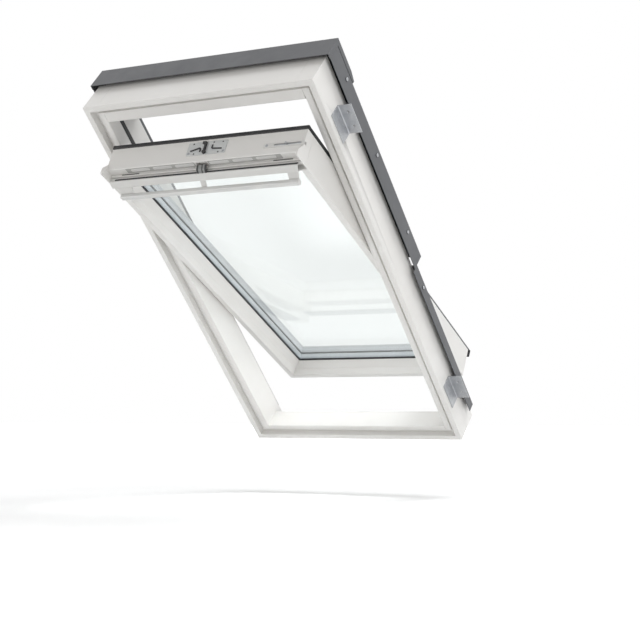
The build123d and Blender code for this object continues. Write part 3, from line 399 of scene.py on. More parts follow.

# %% [markdown]
# ## Rubber, painted shade and filter
#
# Seals and setting blocks are black rubber. The grey strip in the ventilation
# channel is painted shade: matt grey that darkens the channel's wall, where
# shade falls. The filters are open foam, for which the grain is coarse and deep.

# %% Soft materials
black_rubber = make_finish(
    "black_rubber",
    (0.012, 0.012, 0.013),
    (0.022, 0.022, 0.024),
    roughness=(0.5, 0.68),
    patch_scale=25.0,
    grain_scale=1200.0,
    grain_strength=0.25,
    grain_depth=0.00015,
)
# painted shade: matt grey for the strip that darkens the channel's wall
channel_shade_paint = make_finish(
    "grey_channel_liner",
    (0.45, 0.445, 0.43),
    (0.41, 0.405, 0.39),
    roughness=(0.55, 0.7),
    patch_scale=30.0,
    grain_scale=900.0,
    grain_strength=0.3,
    grain_depth=0.0002,
)
filter_foam = make_finish(
    "filter_foam",
    (0.07, 0.075, 0.07),
    (0.11, 0.115, 0.11),
    roughness=(0.85, 0.95),
    patch_scale=200.0,
    grain_scale=350.0,
    grain_strength=0.9,
    grain_depth=0.0012,
)
print("soft materials:", black_rubber.name, channel_shade_paint.name, filter_foam.name)

# %% [markdown]
# ## Zinc plated steel
#
# Brackets, hinges and screws are zinc plated, and the lock plate is a paler
# plate of the same kind. Both show the direction in which the sheet was
# rolled, so their grain is stretched across the window.


# %% Plated steel
def plated(name, colour, second_colour, roughness, metallic, patch_scale):
    """Zinc on sheet steel that was rolled across the window."""
    return make_finish(
        name,
        colour,
        second_colour,
        roughness=roughness,
        patch_scale=patch_scale,
        grain_scale=500.0,
        grain_strength=0.12,
        grain_depth=0.0001,
        grain_stretch=(0.08, 1, 1),
        metallic=metallic,
    )


zinc_steel = plated(
    "zinc_plated_steel",
    (0.49, 0.50, 0.515),
    (0.40, 0.41, 0.43),
    roughness=(0.34, 0.5),
    metallic=0.8,
    patch_scale=60.0,
)
lock_plate_steel = plated(
    "satin_zinc_plate",
    (0.60, 0.61, 0.605),
    (0.54, 0.55, 0.55),
    roughness=(0.42, 0.56),
    metallic=0.45,
    patch_scale=45.0,
)
print("plated steel:", zinc_steel.name, lock_plate_steel.name)

# %% [markdown]
# ## Blackened steel
#
# The rivets and the link over the channel are blackened. That skin is thin, so
# the metal under it still shines a little. The link's is greyer than the
# rivets'.


# %% Dark steel
def blackened(name, colour, second_colour, roughness, metallic):
    """Steel under a thin dark skin."""
    return make_finish(
        name,
        colour,
        second_colour,
        roughness=roughness,
        patch_scale=40.0,
        grain_scale=900.0,
        grain_strength=0.1,
        grain_depth=0.0001,
        metallic=metallic,
    )


rivet_steel = blackened(
    "black_spring_steel",
    (0.028, 0.029, 0.032),
    (0.045, 0.046, 0.05),
    roughness=(0.28, 0.4),
    metallic=0.5,
)
link_steel = blackened(
    "phosphated_steel",
    (0.20, 0.205, 0.20),
    (0.26, 0.265, 0.26),
    roughness=(0.4, 0.52),
    metallic=0.6,
)
print("blackened steel:", rivet_steel.name, link_steel.name)

# %% [markdown]
# ## Pale aluminium and a painted highlight
#
# The spacer between the panes is plain aluminium. The lips of the covers get
# a pale metal as painted highlight, for the light they catch. Both are seen
# only through glass, as pale lines round it. They are matt and only partly
# metallic, because a bare mirror in that narrow gap looks dark.


# %% Pale aluminium and painted highlight
def plain_aluminium(name, colour, second_colour, roughness, patch_scale, skin, depth):
    """Pale, partly metallic aluminium; on the lips it is painted highlight."""
    return make_finish(
        name,
        colour,
        second_colour,
        roughness=roughness,
        patch_scale=patch_scale,
        grain_scale=500.0,
        grain_strength=skin,
        grain_depth=depth,
        metallic=0.3,
    )


spacer_aluminium = plain_aluminium(
    "spacer_aluminium",
    (0.48, 0.51, 0.535),
    (0.54, 0.57, 0.595),
    roughness=(0.4, 0.55),
    patch_scale=30.0,
    skin=0.2,
    depth=0.0002,
)
# painted highlight: pale metal on the lips of the sash covers, for the light they catch
lip_highlight_paint = plain_aluminium(
    "bare_aluminium",
    (0.60, 0.62, 0.64),
    (0.66, 0.68, 0.70),
    roughness=(0.35, 0.5),
    patch_scale=20.0,
    skin=0.12,
    depth=0.0001,
)
# the lip finish printed here is painted highlight
print("bare aluminium:", spacer_aluminium.name, lip_highlight_paint.name)

# %% [markdown]
# ## Clear glass
#
# The unit has two panes. Each is clear float glass, which is faintly green,
# and never quite flat: a very slow bump bends reflections a little. A pane
# casts no shadow, because a renderer would otherwise take all the light of a
# lamp away behind it, where real glass lets nearly all of it pass.

# %% Glass
GLASS_TINT = (0.955, 0.975, 0.97)
GLASS_IOR = 1.5
RIPPLE_SCALE = 3.0
RIPPLE_DETAIL = 1.0
RIPPLE_STRENGTH = 0.02
RIPPLE_DEPTH = 0.002


def make_glass(name):
    """Float glass: smooth, faintly green and slightly rippled."""
    material, tree, shader = new_material(name)
    shader.inputs["Base Color"].default_value = (*GLASS_TINT, 1)
    shader.inputs["Roughness"].default_value = 0.0
    shader.inputs["IOR"].default_value = GLASS_IOR
    shader.inputs["Transmission Weight"].default_value = 1.0
    ripple = noise(tree, stretched_coordinates(tree), RIPPLE_SCALE, RIPPLE_DETAIL)
    add_bump(tree, shader, ripple, RIPPLE_STRENGTH, RIPPLE_DEPTH)
    return material


PANES = ("glass_inner", "glass_outer")

pane_glass = make_glass("clear_pane_glass")
for name in PANES:
    nodes[name].visible_shadow = False
print("panes that let the lamps' light through:", len(PANES))

# %% [markdown]
# ## Pieces that belong together
#
# Later steps treat whole families of pieces alike, so the families get names
# once. The lists go by what the pieces are made of and how they lie.

# %% Families of pieces
RAILS = ("frame_head", "frame_sill", "sash_top_rail", "sash_bottom_rail")
JAMBS = ("frame_jamb_left", "frame_jamb_right")
STILES = ("sash_stile_left", "sash_stile_right")
BRACKETS = (
    "bracket_left_lower",
    "bracket_left_upper",
    "bracket_right_lower",
    "bracket_right_upper",
)
COVERS = (
    "cover_bottom",
    "cover_lower_left",
    "cover_lower_right",
    "cover_upper_left",
    "cover_upper_right",
    "hood_top",
    "sash_cover_bottom",
    "sash_cover_left",
    "sash_cover_right",
    "sash_cover_top",
)
SEALS = (
    "flap_gasket",
    "frame_seal_left",
    "frame_seal_right",
    "glazing_gasket_inner",
    "glazing_gasket_outer",
    "sash_gasket",
    "setting_blocks",
)
FLAP_SHEET = ("vent_flap", "bar_arm_left", "bar_arm_middle", "bar_arm_right")
print("covers:", len(COVERS), "seals:", len(SEALS), "brackets:", len(BRACKETS))

# %% [markdown]
# ## Each CAD node gets its finish
#
# A node keeps its mesh and only changes its material, by name. Whatever the
# table doesn't name is zinc plated ironwork.

# %% Finishes by node
FINISHES = (
    (lacquer_across, RAILS),
    (lacquer_frame_up, JAMBS),
    (lacquer_sash_up, STILES),
    (powder_white, (*FLAP_SHEET, "bolt_guide")),
    (bar_aluminium, ("control_bar",)),
    (moulded_white, ("bar_caps", "vent_comb")),
    (cover_grey, COVERS),
    (black_rubber, SEALS),
    (pane_glass, PANES),
    (spacer_aluminium, ("glass_spacer",)),
    (lock_plate_steel, ("lock_case",)),
    (black_moulded, ("latch_lever", "lock_springs")),
    (link_steel, ("flap_link",)),
    (filter_foam, ("vent_filters",)),
)

finish_of = {name: finish for finish, names in FINISHES for name in names}
for name, node in nodes.items():
    node.data.materials.clear()
    node.data.materials.append(finish_of.get(name, zinc_steel))
print("finishes by name:", len(finish_of), "zinc plated:", len(nodes) - len(finish_of))

# %% [markdown]
# ## Plain faces from loose triangles
#
# The CAD mesh is loose triangles, which can't be bevelled. A copy of a piece
# is merged first: corners that meet become one, and triangles that lie in one
# plane become one face. The edges that remain are the real edges.

# %% Merged copies
SAME_POINT = 1e-6
FLAT_ANGLE = math.radians(1)


def merged_copy(name):
    """The node's loose triangles, merged into flat faces."""
    bm = bmesh.new()
    bm.from_mesh(nodes[name].data)
    bmesh.ops.remove_doubles(bm, verts=bm.verts, dist=SAME_POINT)
    bmesh.ops.dissolve_limit(
        bm, angle_limit=FLAT_ANGLE, verts=bm.verts, edges=bm.edges
    )
    return bm


sample = merged_copy("frame_head")
triangles = len(nodes["frame_head"].data.polygons)
print("frame_head:", triangles, "triangles make", len(sample.faces), "faces")
sample.free()

# %% [markdown]
# ## Pieces that ride on a body
#
# A new piece is made at the origin in the window's own coordinates, so it
# needs no transform. It rides on a body of the model, and when it stands for a
# CAD node, it takes that node's body and finish.


# %% Add a piece
def add_piece(name, bm, finish, body):
    """Makes an object of a bmesh, at the origin, that rides on a body."""
    mesh = bpy.data.meshes.new(name)
    bm.to_mesh(mesh)
    bm.free()
    mesh.materials.append(finish)
    piece = bpy.data.objects.new(name, mesh)
    bpy.context.scene.collection.objects.link(piece)
    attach(piece, body)
    return piece


def add_replacement(node, ending, bm):
    """A piece that stands for a CAD node, with its body and its finish."""
    body = body_of(nodes[node])[0]
    piece = add_piece(node + ending, bm, nodes[node].data.materials[0], body)
    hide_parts(node)
    return piece


# %% [markdown]
# ## Timbers and sheet metal with soft edges
#
# No joiner leaves a painted edge sharp: lacquer runs off it and the wood
# shows. The CAD pieces have their large roundings, and every other edge is
# crisp. The long crisp edges of a merged copy get a fine bevel, which also
# draws the joint where two members meet. Folded sheet gets a finer one.

# %% Copies with soft edges
CRISP_ANGLE = math.radians(30)
LONG_EDGE = 0.006
EDGE_SEGMENTS = 2
TIMBER_EDGE = 0.0006
SHEET_EDGE = 0.0003
TIMBERS = (
    "frame_head",
    "frame_sill",
    *JAMBS,
    *STILES,
    "sash_top_rail",
    "sash_bottom_rail",
)


def bevel_edges(bm, edges, width, segments):
    """Rounds edges; the new faces keep the material of their neighbours."""
    bmesh.ops.bevel(
        bm,
        geom=edges,
        offset=width,
        offset_type="OFFSET",
        affect="EDGES",
        segments=segments,
        profile=0.5,
        material=-1,
    )


def soften(bm, width):
    """Bevels the crisp edges that are long enough to be seen."""
    crisp = [
        edge
        for edge in bm.edges
        if edge.is_manifold
        and edge.calc_face_angle() > CRISP_ANGLE
        and edge.calc_length() > LONG_EDGE
    ]
    bevel_edges(bm, crisp, width, EDGE_SEGMENTS)
    return len(crisp)


def add_softened(node, width):
    """A softened copy that stands for a CAD node."""
    bm = merged_copy(node)
    edges = soften(bm, width)
    piece = add_replacement(node, "_soft", bm)
    print(piece.name, "edges softened:", edges)


for node in TIMBERS:
    add_softened(node, TIMBER_EDGE)
for node in (*BRACKETS, *COVERS, *FLAP_SHEET, "flap_link"):
    add_softened(node, SHEET_EDGE)

# %% [markdown]
# ## A painted highlight on the lip round the glass
#
# The covers of the sash end in a lip that stands on the glass. From the room
# it is seen through the pane, and there its faces are painted pale as a
# highlight, paler than the grey outside. Its faces are the innermost ones, so
# each cover's way inwards finds them, and they take a second material of the
# same mesh.

# %% Lip faces
LIP_DEPTH = 0.002
SQUARE_ON = 0.9


def paint_lip_highlight(node, way):
    """Paints highlight on the faces of a cover that look inwards along the way."""
    mesh = bpy.data.objects[node + "_soft"].data
    mesh.materials.append(lip_highlight_paint)
    reach = max(corner.co.dot(way) for corner in mesh.vertices)
    lip = [
        face
        for face in mesh.polygons
        if face.normal.dot(way) > SQUARE_ON
        and reach - face.center.dot(way) < LIP_DEPTH
    ]
    for face in lip:
        face.material_index = 1
    print(node, "lip faces:", len(lip))


paint_lip_highlight("sash_cover_left", Vector((1, 0, 0)))
paint_lip_highlight("sash_cover_right", Vector((-1, 0, 0)))
paint_lip_highlight("sash_cover_bottom", sash_up)
paint_lip_highlight("sash_cover_top", -sash_up)

# %% [markdown]
# ## Fuller springs and seals
#
# Bent wire and extruded rubber are round, where CAD has a plain bar. Each gets
# a fuller copy: every face moves out by the same amount, and the long edges
# are bevelled after that.

# %% Fuller copies
# node, how far its faces move out, width of the bevel
FULLER_COPIES = (
    ("lock_springs", 0.0006, 0.0007),
    ("flap_gasket", 0.0004, 0.0008),
    ("glazing_gasket_inner", 0.0008, 0.0008),
)


def fatten(bm, amount):
    """Moves every face outwards by the same amount."""
    bm.normal_update()
    moves = [corner.normal * amount * corner.calc_shell_factor() for corner in bm.verts]
    for corner, move in zip(bm.verts, moves):
        corner.co += move


for node, amount, width in FULLER_COPIES:
    bm = merged_copy(node)
    fatten(bm, amount)
    soften(bm, width)
    piece = add_replacement(node, "_full", bm)
    print(piece.name, "made fuller by", amount, "m")

# %% [markdown]
# ## Bars of the link
#
# The link that hooks over the channel is pressed with stiffening bars. A bar
# has the link's own profile, so it is a copy of the link, squeezed to a slice
# across and made a little fuller.

# %% Link bars
LINK_MIDDLE = -0.002
BAR_FULLNESS = 0.0005
# side, middle of the bar across the window, width
LINK_BARS = (
    ("left", -0.0125, 0.0036),
    ("middle", 0.0008, 0.0018),
    ("right", 0.0102, 0.0036),
)


def add_link_bar(side, middle, width):
    """A slice of the link's profile, proud of the link."""
    bm = merged_copy("flap_link")
    for corner in bm.verts:
        half = math.copysign(width / 2, corner.co.x - LINK_MIDDLE)
        corner.co.x = middle + half
    fatten(bm, BAR_FULLNESS)
    body = body_of(nodes["flap_link"])[0]
    add_piece("link_bar_" + side, bm, black_moulded, body)


for side, middle, width in LINK_BARS:
    add_link_bar(side, middle, width)
print("link bars:", len(LINK_BARS))

# %% [markdown]
# ## Turned parts with a cross recess
#
# A screw is a turned part, so its profile is spun about its axis. The ring
# left open at the top is bridged to the outline of a cross, and the cross is
# pushed down and tapered: that is how the punch shapes the real recess.

# %% Turning and punching
SPIN_STEPS = 24
SLOT_SHARE = 0.28
PUNCH_TAPER = 0.6


def turned(profile, closed=False):
    """Spins a profile of (radius, height) points about Z."""
    bm = bmesh.new()
    points = [bm.verts.new((radius, 0, height)) for radius, height in profile]
    ends = points[1:] + points[:1] if closed else points[1:]
    lines = [bm.edges.new(pair) for pair in zip(points, ends)]
    bmesh.ops.spin(
        bm,
        geom=points + lines,
        cent=(0, 0, 0),
        axis=(0, 0, 1),
        angle=math.tau,
        steps=SPIN_STEPS,
        use_merge=True,
    )
    bmesh.ops.remove_doubles(bm, verts=bm.verts, dist=SAME_POINT)
    return bm


def close_with_cross(bm, reach, depth):
    """Closes the open ring at the top with a face that has a cross recess."""
    ring = [edge for edge in bm.edges if edge.is_boundary]
    slot = reach * SLOT_SHARE
    outline = [(slot, reach), (-slot, reach), (-slot, slot)]
    corners = []
    for quarter in range(4):
        turn = Matrix.Rotation(quarter * math.pi / 2, 2)
        corners += [bm.verts.new((*(turn @ Vector(point)), 0)) for point in outline]
    cross = bm.faces.new(corners)
    bmesh.ops.bridge_loops(bm, edges=ring + list(cross.edges))
    pushed = bmesh.ops.extrude_discrete_faces(bm, faces=[cross])["faces"][0]
    bmesh.ops.scale(bm, vec=(PUNCH_TAPER, PUNCH_TAPER, 1), verts=pushed.verts)
    bmesh.ops.translate(bm, vec=(0, 0, -depth), verts=pushed.verts)
    bmesh.ops.recalc_face_normals(bm, faces=bm.faces)


# %% [markdown]
# ## Where the screws sit
#
# The CAD solids tell where each head is, so no place is typed twice. A node
# of screws is taken apart into its solids by walking from corner to corner,
# and the corners furthest along a screw's way are the rim of its head. One
# screw is then copied to every place.

# %% Places and copies
RIM_DEPTH = 1e-5


def solids_of(name):
    """Corners of each separate solid of a CAD node."""
    bm = merged_copy(name)
    left = set(bm.verts)
    solids = []
    while left:
        reached = {left.pop()}
        to_visit = list(reached)
        while to_visit:
            corner = to_visit.pop()
            for edge in corner.link_edges:
                other = edge.other_vert(corner)
                if other in left:
                    left.discard(other)
                    reached.add(other)
                    to_visit.append(other)
        solids.append([corner.co.copy() for corner in reached])
    bm.free()
    return solids


def head_places(name, way_of):
    """Middle of each screw's head, with the way it faces."""
    places = []
    for corners in solids_of(name):
        way = way_of(sum(corners, Vector()) / len(corners))
        top = max(corner.dot(way) for corner in corners)
        rim = [corner for corner in corners if top - corner.dot(way) < RIM_DEPTH]
        places.append((sum(rim, Vector()) / len(rim), way))
    return sorted(places, key=lambda place: tuple(place[0]))


def copies_at(template, places):
    """Copies of a part made along Z, one for each (centre, way) place."""
    mesh = bpy.data.meshes.new("template")
    template.to_mesh(mesh)
    template.free()
    bm = bmesh.new()
    for centre, way in places:
        bm.from_mesh(mesh)
        bm.verts.ensure_lookup_table()
        copied = bm.verts[-len(mesh.vertices):]
        turn = way.to_track_quat("Z", "Y").to_matrix().to_4x4()
        bmesh.ops.transform(
            bm, matrix=Matrix.Translation(centre) @ turn, verts=copied
        )
    bpy.data.meshes.remove(mesh)
    return bm


print("bracket screws found:", len(solids_of("bracket_screws")))

# %% [markdown]
# ## Countersunk screws
#
# Brackets, lock plate and keeper are held by countersunk screws. They differ
# in length and in the way they face, so one helper makes them all. A bracket's
# screws face sideways, away from the middle of the window.

# %% Countersunk screws
SCREW_HEAD = 0.004
SCREW_SHANK = 0.002
SCREW_TIP = 0.001
CROSS_REACH = 0.0026
CROSS_DEPTH = 0.0014
TIMBER_SCREW = 0.018
PLATE_SCREW = 0.014


def sideways(middle):
    """The way from the middle of the window to a screw."""
    return Vector((math.copysign(1, middle.x), 0, 0))


def replace_screws(node, way_of, length):
    """Turned screws that stand for the plain ones of a CAD node."""
    screw = turned(
        [
            (SCREW_HEAD, 0),
            (SCREW_SHANK, SCREW_SHANK - SCREW_HEAD),
            (SCREW_SHANK, SCREW_TIP - length),
            (0, -length),
        ]
    )
    close_with_cross(screw, CROSS_REACH, CROSS_DEPTH)
    places = head_places(node, way_of)
    piece = add_replacement(node, "_crossed", copies_at(screw, places))
    print(piece.name, "screws:", len(places))


replace_screws("bracket_screws", sideways, TIMBER_SCREW)
replace_screws("sash_top_screws", lambda middle: sash_up, PLATE_SCREW)
replace_screws("keeper_screws", lambda middle: -frame_up, TIMBER_SCREW)

# %% [markdown]
# ## Screws of the outer covers
#
# Outside, the covers are held by pan-head screws through the skirts, each
# with a rubber washer that keeps the rain out. The head's domed profile is
# spun, the cross is punched at its top, and the washer is a closed ring spun
# about the same axis.

# %% Cover screws and washers
PAN_HEIGHT = 0.0022
PAN_CROSS_REACH = 0.0021
PAN_CROSS_DEPTH = 0.0012
PAN_PROFILE = (
    (0.0024, PAN_HEIGHT),
    (0.0035, 0.0019),
    (0.0042, 0.0011),
    (0.0042, 0),
    (SCREW_SHANK, 0),
    (SCREW_SHANK, -0.011),
    (0, -0.012),
)
WASHER_RADIUS = 0.0055
WASHER_THICKNESS = 0.0008
WASHER_RIM = 0.0004
WASHER_PROFILE = (
    (SCREW_SHANK, 0),
    (WASHER_RADIUS, 0),
    (WASHER_RADIUS, WASHER_THICKNESS / 2),
    (WASHER_RADIUS - WASHER_RIM, WASHER_THICKNESS),
    (SCREW_SHANK, WASHER_THICKNESS),
)
SKIRT_FACE = 0.344
# v and n of each screw on a side's skirt
SKIRT_PLACES = (
    (0.64, 0.104),
    (0.88, 0.104),
    (1.10, 0.104),
    (0.09, 0.074),
    (0.48, 0.074),
)

pan_screw = turned(PAN_PROFILE)
bmesh.ops.translate(pan_screw, vec=(0, 0, -PAN_HEIGHT), verts=pan_screw.verts)
close_with_cross(pan_screw, PAN_CROSS_REACH, PAN_CROSS_DEPTH)
bmesh.ops.translate(
    pan_screw, vec=(0, 0, PAN_HEIGHT + WASHER_THICKNESS), verts=pan_screw.verts
)
washer = turned(WASHER_PROFILE, closed=True)
bmesh.ops.recalc_face_normals(washer, faces=washer.faces)
skirt_places = [
    (on_frame(side * SKIRT_FACE, v, n), Vector((side, 0, 0)))
    for side in (-1, 1)
    for v, n in SKIRT_PLACES
]
add_piece("cover_screws", copies_at(pan_screw, skirt_places), zinc_steel, "frame")
add_piece("cover_washers", copies_at(washer, skirt_places), black_rubber, "frame")
print("cover screws:", len(skirt_places))

# %% [markdown]
# ## Rivets of the lock plate
#
# The lock plate is pressed sheet on the sash's top face. Six rivets hold the
# mechanism under it. A rivet's head is a flattened sphere.

# %% Rivets
LOCK_X = 0.008
LOCK_SHEET = 0.0016
LOCK_V = SASH_TOP_V + LOCK_SHEET
RIVET_RADIUS = 0.0022
RIVET_FLATNESS = 0.45
RIVET_SIDES = 16
RIVET_RINGS = 8
# x from the plate's middle, n
RIVET_PLACES = (
    (-0.041, 0.100),
    (-0.012, 0.101),
    (0.017, 0.101),
    (0.043, 0.100),
    (-0.034, 0.071),
    (0.036, 0.071),
)

rivet = bmesh.new()
bmesh.ops.create_uvsphere(
    rivet, u_segments=RIVET_SIDES, v_segments=RIVET_RINGS, radius=RIVET_RADIUS
)
bmesh.ops.scale(rivet, vec=(1, 1, RIVET_FLATNESS), verts=rivet.verts)
rivet_places = [(on_sash(LOCK_X + x, LOCK_V, n), sash_up) for x, n in RIVET_PLACES]
add_piece("lock_rivets", copies_at(rivet, rivet_places), rivet_steel, "sash")
print("rivets:", len(rivet_places))

# %% [markdown]
# ## Pressed steps of the lock plate
#
# The pressing leaves a low step round each spring. A step is a thin block: its
# four upright edges are bevelled wide for the round corners, and then the rim
# of its upper face gets a narrow bevel, as the press leaves it.

# %% Raised fields
CORNER_SEGMENTS = 4
RIM_SHARE = 0.35
STEP_N = 0.086
STEP_SIZE = (0.036, 0.026, 0.0008)
STEP_CORNER = 0.003
STEP_PLACES = (("left", -0.024), ("right", 0.030))


def raised_field(centre, axes, size, corner):
    """A low block with round corners and a soft rim, facing the third axis."""
    bm = bmesh.new()
    bmesh.ops.create_cube(bm, size=1)
    bmesh.ops.scale(bm, vec=size, verts=bm.verts)
    posts = [
        edge
        for edge in bm.edges
        if abs(edge.verts[0].co.z - edge.verts[1].co.z) > SAME_POINT
    ]
    bevel_edges(bm, posts, corner, CORNER_SEGMENTS)
    rim = [
        edge
        for edge in bm.edges
        if all(end.co.z > 0 for end in edge.verts)
        and edge.calc_face_angle() > CRISP_ANGLE
    ]
    bevel_edges(bm, rim, size[2] * RIM_SHARE, EDGE_SEGMENTS)
    place = Matrix.Translation(centre) @ axes.to_4x4()
    bmesh.ops.transform(bm, matrix=place, verts=bm.verts)
    return bm


top_axes = Matrix((Vector((1, 0, 0)), -sash_out, sash_up)).transposed()
for side, x in STEP_PLACES:
    centre = on_sash(LOCK_X + x, LOCK_V, STEP_N)
    step = raised_field(centre, top_axes, STEP_SIZE, STEP_CORNER)
    add_piece("lock_step_" + side, step, lock_plate_steel, "sash")
print("pressed steps:", len(STEP_PLACES))

# %% [markdown]
# ## Pads and painted shade in the ventilation channel
#
# Moulded pads stand on the channel's wall on both sides of the link. Under
# them lies a grey strip of painted shade, which darkens the wall where shade
# falls. Strip and pads are the lock plate's raised fields again, turned to face
# the room, with the pads set out at one pitch.

# %% Channel pads and painted shade
PAD_V = 1.0715
PAD_WALL_N = 0.049
PAD_SIZE = (0.056, 0.010, 0.0024)
PAD_CORNER = 0.004
PAD_PITCH = 0.066
PAD_FROM_LINK = 0.050
PADS_PER_SIDE = 3
# size and place of the grey strip of painted shade under the pads
SHADE_STRIP_BELOW_PADS = 0.0005
SHADE_STRIP_SIZE = (0.205, 0.017, 0.0008)
SHADE_STRIP_CORNER = 0.002
SHADE_STRIP_FROM_LINK = 0.122

wall_axes = Matrix((Vector((-1, 0, 0)), sash_up, -sash_out)).transposed()
for side, name in ((-1, "left"), (1, "right")):
    middle = LINK_MIDDLE + side * SHADE_STRIP_FROM_LINK
    centre = on_sash(middle, PAD_V - SHADE_STRIP_BELOW_PADS, PAD_WALL_N)
    # painted shade: a grey strip that darkens the wall behind the pads
    shade_strip = raised_field(centre, wall_axes, SHADE_STRIP_SIZE, SHADE_STRIP_CORNER)
    add_piece("channel_liner_" + name, shade_strip, channel_shade_paint, "sash")
    for number in range(PADS_PER_SIDE):
        middle = LINK_MIDDLE + side * (PAD_FROM_LINK + number * PAD_PITCH)
        centre = on_sash(middle, PAD_V, PAD_WALL_N)
        pad = raised_field(centre, wall_axes, PAD_SIZE, PAD_CORNER)
        add_piece(f"channel_pad_{name}_{number + 1}", pad, pad_white, "sash")
# the two strips counted here are painted shade
print("channel liners: 2, pads on each side:", PADS_PER_SIDE)

# %% [markdown]
# ## A floor for the shadow
#
# The window hangs over a wide floor, which catches its shadow. It is one
# square that reaches well past what the camera sees.

# %% Floor
FLOOR_DROP = 0.16
FLOOR_SIZE = 40.0


def make_floor():
    """A wide square, a little below the window."""
    bm = bmesh.new()
    bmesh.ops.create_grid(bm, x_segments=1, y_segments=1, size=FLOOR_SIZE / 2)
    bmesh.ops.translate(bm, vec=(0, 0, cad_low[2] - FLOOR_DROP), verts=bm.verts)
    mesh = bpy.data.meshes.new("studio_floor")
    bm.to_mesh(mesh)
    bm.free()
    floor = bpy.data.objects.new("studio_floor", mesh)
    bpy.context.scene.collection.objects.link(floor)
    return floor


floor = make_floor()
print("floor at", round(cad_low[2] - FLOOR_DROP, 3), "m")

# %% [markdown]
# ## A floor that fades into the backdrop
#
# The floor is pale paint. Its far parts get little light from the lamps, so
# its own glow rises with the distance until it is as white as the backdrop.
# Only rays from the camera, from mirrors and through glass see that glow: it
# puts no light on the window.

# %% Floor finish
FLOOR_COLOUR = (0.85, 0.85, 0.85)
FLOOR_ROUGHNESS = 0.9
GLOW_START = 1.0
GLOW_END = 2.6
GLOW_NEAR = 0.14
GLOW_FAR = 1.0


def backdrop_rays(tree):
    """1 for rays that see the backdrop: camera, mirror and glass rays."""
    rays = tree.nodes.new("ShaderNodeLightPath")
    mirrored = tree.nodes.new("ShaderNodeMath")
    mirrored.operation = "MAXIMUM"
    seen = tree.nodes.new("ShaderNodeMath")
    seen.operation = "MAXIMUM"
    tree.links.new(rays.outputs["Is Glossy Ray"], mirrored.inputs[0])
    tree.links.new(rays.outputs["Is Transmission Ray"], mirrored.inputs[1])
    tree.links.new(mirrored.outputs["Value"], seen.inputs[0])
    tree.links.new(rays.outputs["Is Camera Ray"], seen.inputs[1])
    return seen.outputs["Value"]


def make_floor_finish():
    """Pale paint, whose own glow rises where the lamps' light falls off."""
    material, tree, shader = new_material("floor_white")
    shader.inputs["Base Color"].default_value = (*FLOOR_COLOUR, 1)
    shader.inputs["Roughness"].default_value = FLOOR_ROUGHNESS
    coordinates = tree.nodes.new("ShaderNodeTexCoord")
    distance = tree.nodes.new("ShaderNodeVectorMath")
    distance.operation = "LENGTH"
    rise = tree.nodes.new("ShaderNodeMapRange")
    rise.interpolation_type = "SMOOTHSTEP"
    rise.inputs["From Min"].default_value = GLOW_START
    rise.inputs["From Max"].default_value = GLOW_END
    rise.inputs["To Min"].default_value = GLOW_NEAR
    rise.inputs["To Max"].default_value = GLOW_FAR
    glow = tree.nodes.new("ShaderNodeEmission")
    add = tree.nodes.new("ShaderNodeAddShader")
    pick = tree.nodes.new("ShaderNodeMixShader")
    output = next(node for node in tree.nodes if node.type == "OUTPUT_MATERIAL")
    tree.links.new(coordinates.outputs["Object"], distance.inputs[0])
    tree.links.new(distance.outputs["Value"], rise.inputs["Value"])
    tree.links.new(rise.outputs["Result"], glow.inputs["Strength"])
    tree.links.new(shader.outputs["BSDF"], add.inputs[0])
    tree.links.new(glow.outputs["Emission"], add.inputs[1])
    tree.links.new(backdrop_rays(tree), pick.inputs["Fac"])
    tree.links.new(shader.outputs["BSDF"], pick.inputs[1])
    tree.links.new(add.outputs["Shader"], pick.inputs[2])
    tree.links.new(pick.outputs["Shader"], output.inputs["Surface"])
    return material


floor.data.materials.append(make_floor_finish())
print("floor glow:", GLOW_NEAR, "near,", GLOW_FAR, "far")

# %% [markdown]
# ## A pale world
#
# The world lights the window evenly from all sides, at a plain level. The
# same rays that see the floor's glow see a white backdrop instead, so the
# background is white without any more light on the window.

# %% World
WORLD_TINT = (1.0, 0.995, 0.985)
WORLD_LIGHT = 0.50
BACKDROP = (1, 1, 1)
BACKDROP_LIGHT = 1.0


def make_background(tree, colour, strength):
    """A Background node of one colour."""
    background = tree.nodes.new("ShaderNodeBackground")
    background.inputs["Color"].default_value = (*colour, 1)
    background.inputs["Strength"].default_value = strength
    return background.outputs["Background"]


def make_world():
    """Even light for the window, and white where the backdrop is seen."""
    world = bpy.data.worlds.new("studio_world")
    world.use_nodes = True
    tree = world.node_tree
    tree.nodes.clear()
    output = tree.nodes.new("ShaderNodeOutputWorld")
    pick = tree.nodes.new("ShaderNodeMixShader")
    tree.links.new(backdrop_rays(tree), pick.inputs["Fac"])
    tree.links.new(make_background(tree, WORLD_TINT, WORLD_LIGHT), pick.inputs[1])
    tree.links.new(make_background(tree, BACKDROP, BACKDROP_LIGHT), pick.inputs[2])
    tree.links.new(pick.outputs["Shader"], output.inputs["Surface"])
    return world


bpy.context.scene.world = make_world()
print("world light:", WORLD_LIGHT)

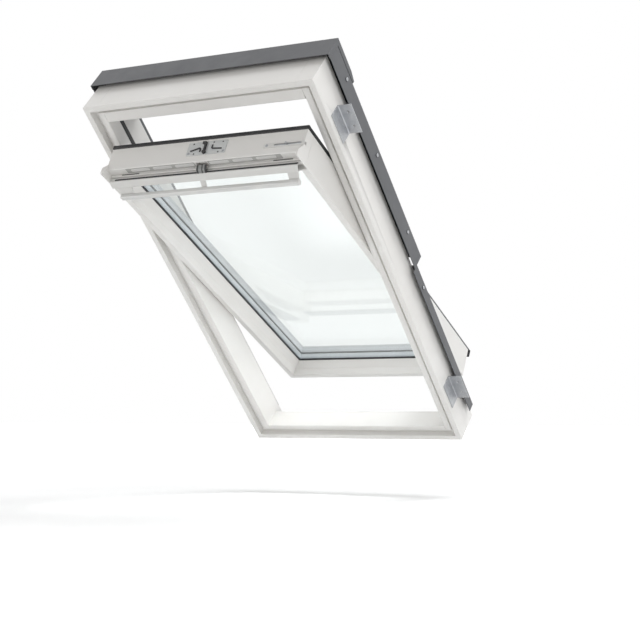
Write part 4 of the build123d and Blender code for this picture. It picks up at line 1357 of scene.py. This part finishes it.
# %% [markdown]
# ## Three soft lamps
#
# The light is that of a studio: a broad warm lamp from the room side, another
# from the right and a strong cool one where the sky would be. Each is a large
# square, because daylight indoors has soft shadows, and each looks at the
# middle of the window.

# %% Lamps
# name, place, width in metres, power in watts, colour
LAMPS = (
    ("room_lamp", (-2.2, -3.3, 0.2), 2.4, 22, (1.0, 0.985, 0.96)),
    ("side_lamp", (3.3, -0.9, 0.9), 2.2, 27, (0.98, 0.99, 1.0)),
    ("sky_lamp", (1.2, 1.2, 3.8), 2.4, 124, (0.97, 0.985, 1.0)),
)


def add_soft_lamp(name, place, width, power, colour):
    """A square area lamp that looks at the origin."""
    lamp = bpy.data.lights.new(name, "AREA")
    lamp.shape = "SQUARE"
    lamp.size = width
    lamp.energy = power
    lamp.color = colour
    holder = bpy.data.objects.new(name, lamp)
    holder.location = place
    holder.rotation_euler = (-Vector(place)).to_track_quat("-Z", "Y").to_euler()
    bpy.context.scene.collection.objects.link(holder)


for lamp in LAMPS:
    add_soft_lamp(*lamp)
print("lamps:", [lamp[0] for lamp in LAMPS])

# %% [markdown]
# ## The camera
#
# The camera stands where the window would be photographed from: low in the
# room and to the right. It looks level, so that upright lines stay upright,
# and the lens is shifted up to take the window in.

# %% Camera
CAMERA_PLACE = (2.0196, -3.4155, -0.3788)
CAMERA_TURN = 29.43
# degrees about X at which a camera looks level
LEVEL = 90
SENSOR_WIDTH = 36.0
LENS = 84.2
LENS_SHIFT_UP = 0.14375
FURTHEST_SEEN = 100.0


def make_camera():
    """A level camera with a shifted lens."""
    data = bpy.data.cameras.new("photo_camera")
    data.sensor_width = SENSOR_WIDTH
    data.lens = LENS
    data.shift_y = LENS_SHIFT_UP
    data.clip_end = FURTHEST_SEEN
    camera = bpy.data.objects.new("photo_camera", data)
    camera.location = CAMERA_PLACE
    camera.rotation_euler = (math.radians(LEVEL), 0, math.radians(CAMERA_TURN))
    bpy.context.scene.collection.objects.link(camera)
    return camera


bpy.context.scene.camera = make_camera()
bpy.context.scene.view_settings.view_transform = "Standard"
print("camera at", CAMERA_PLACE, "with a lens of", LENS, "mm")
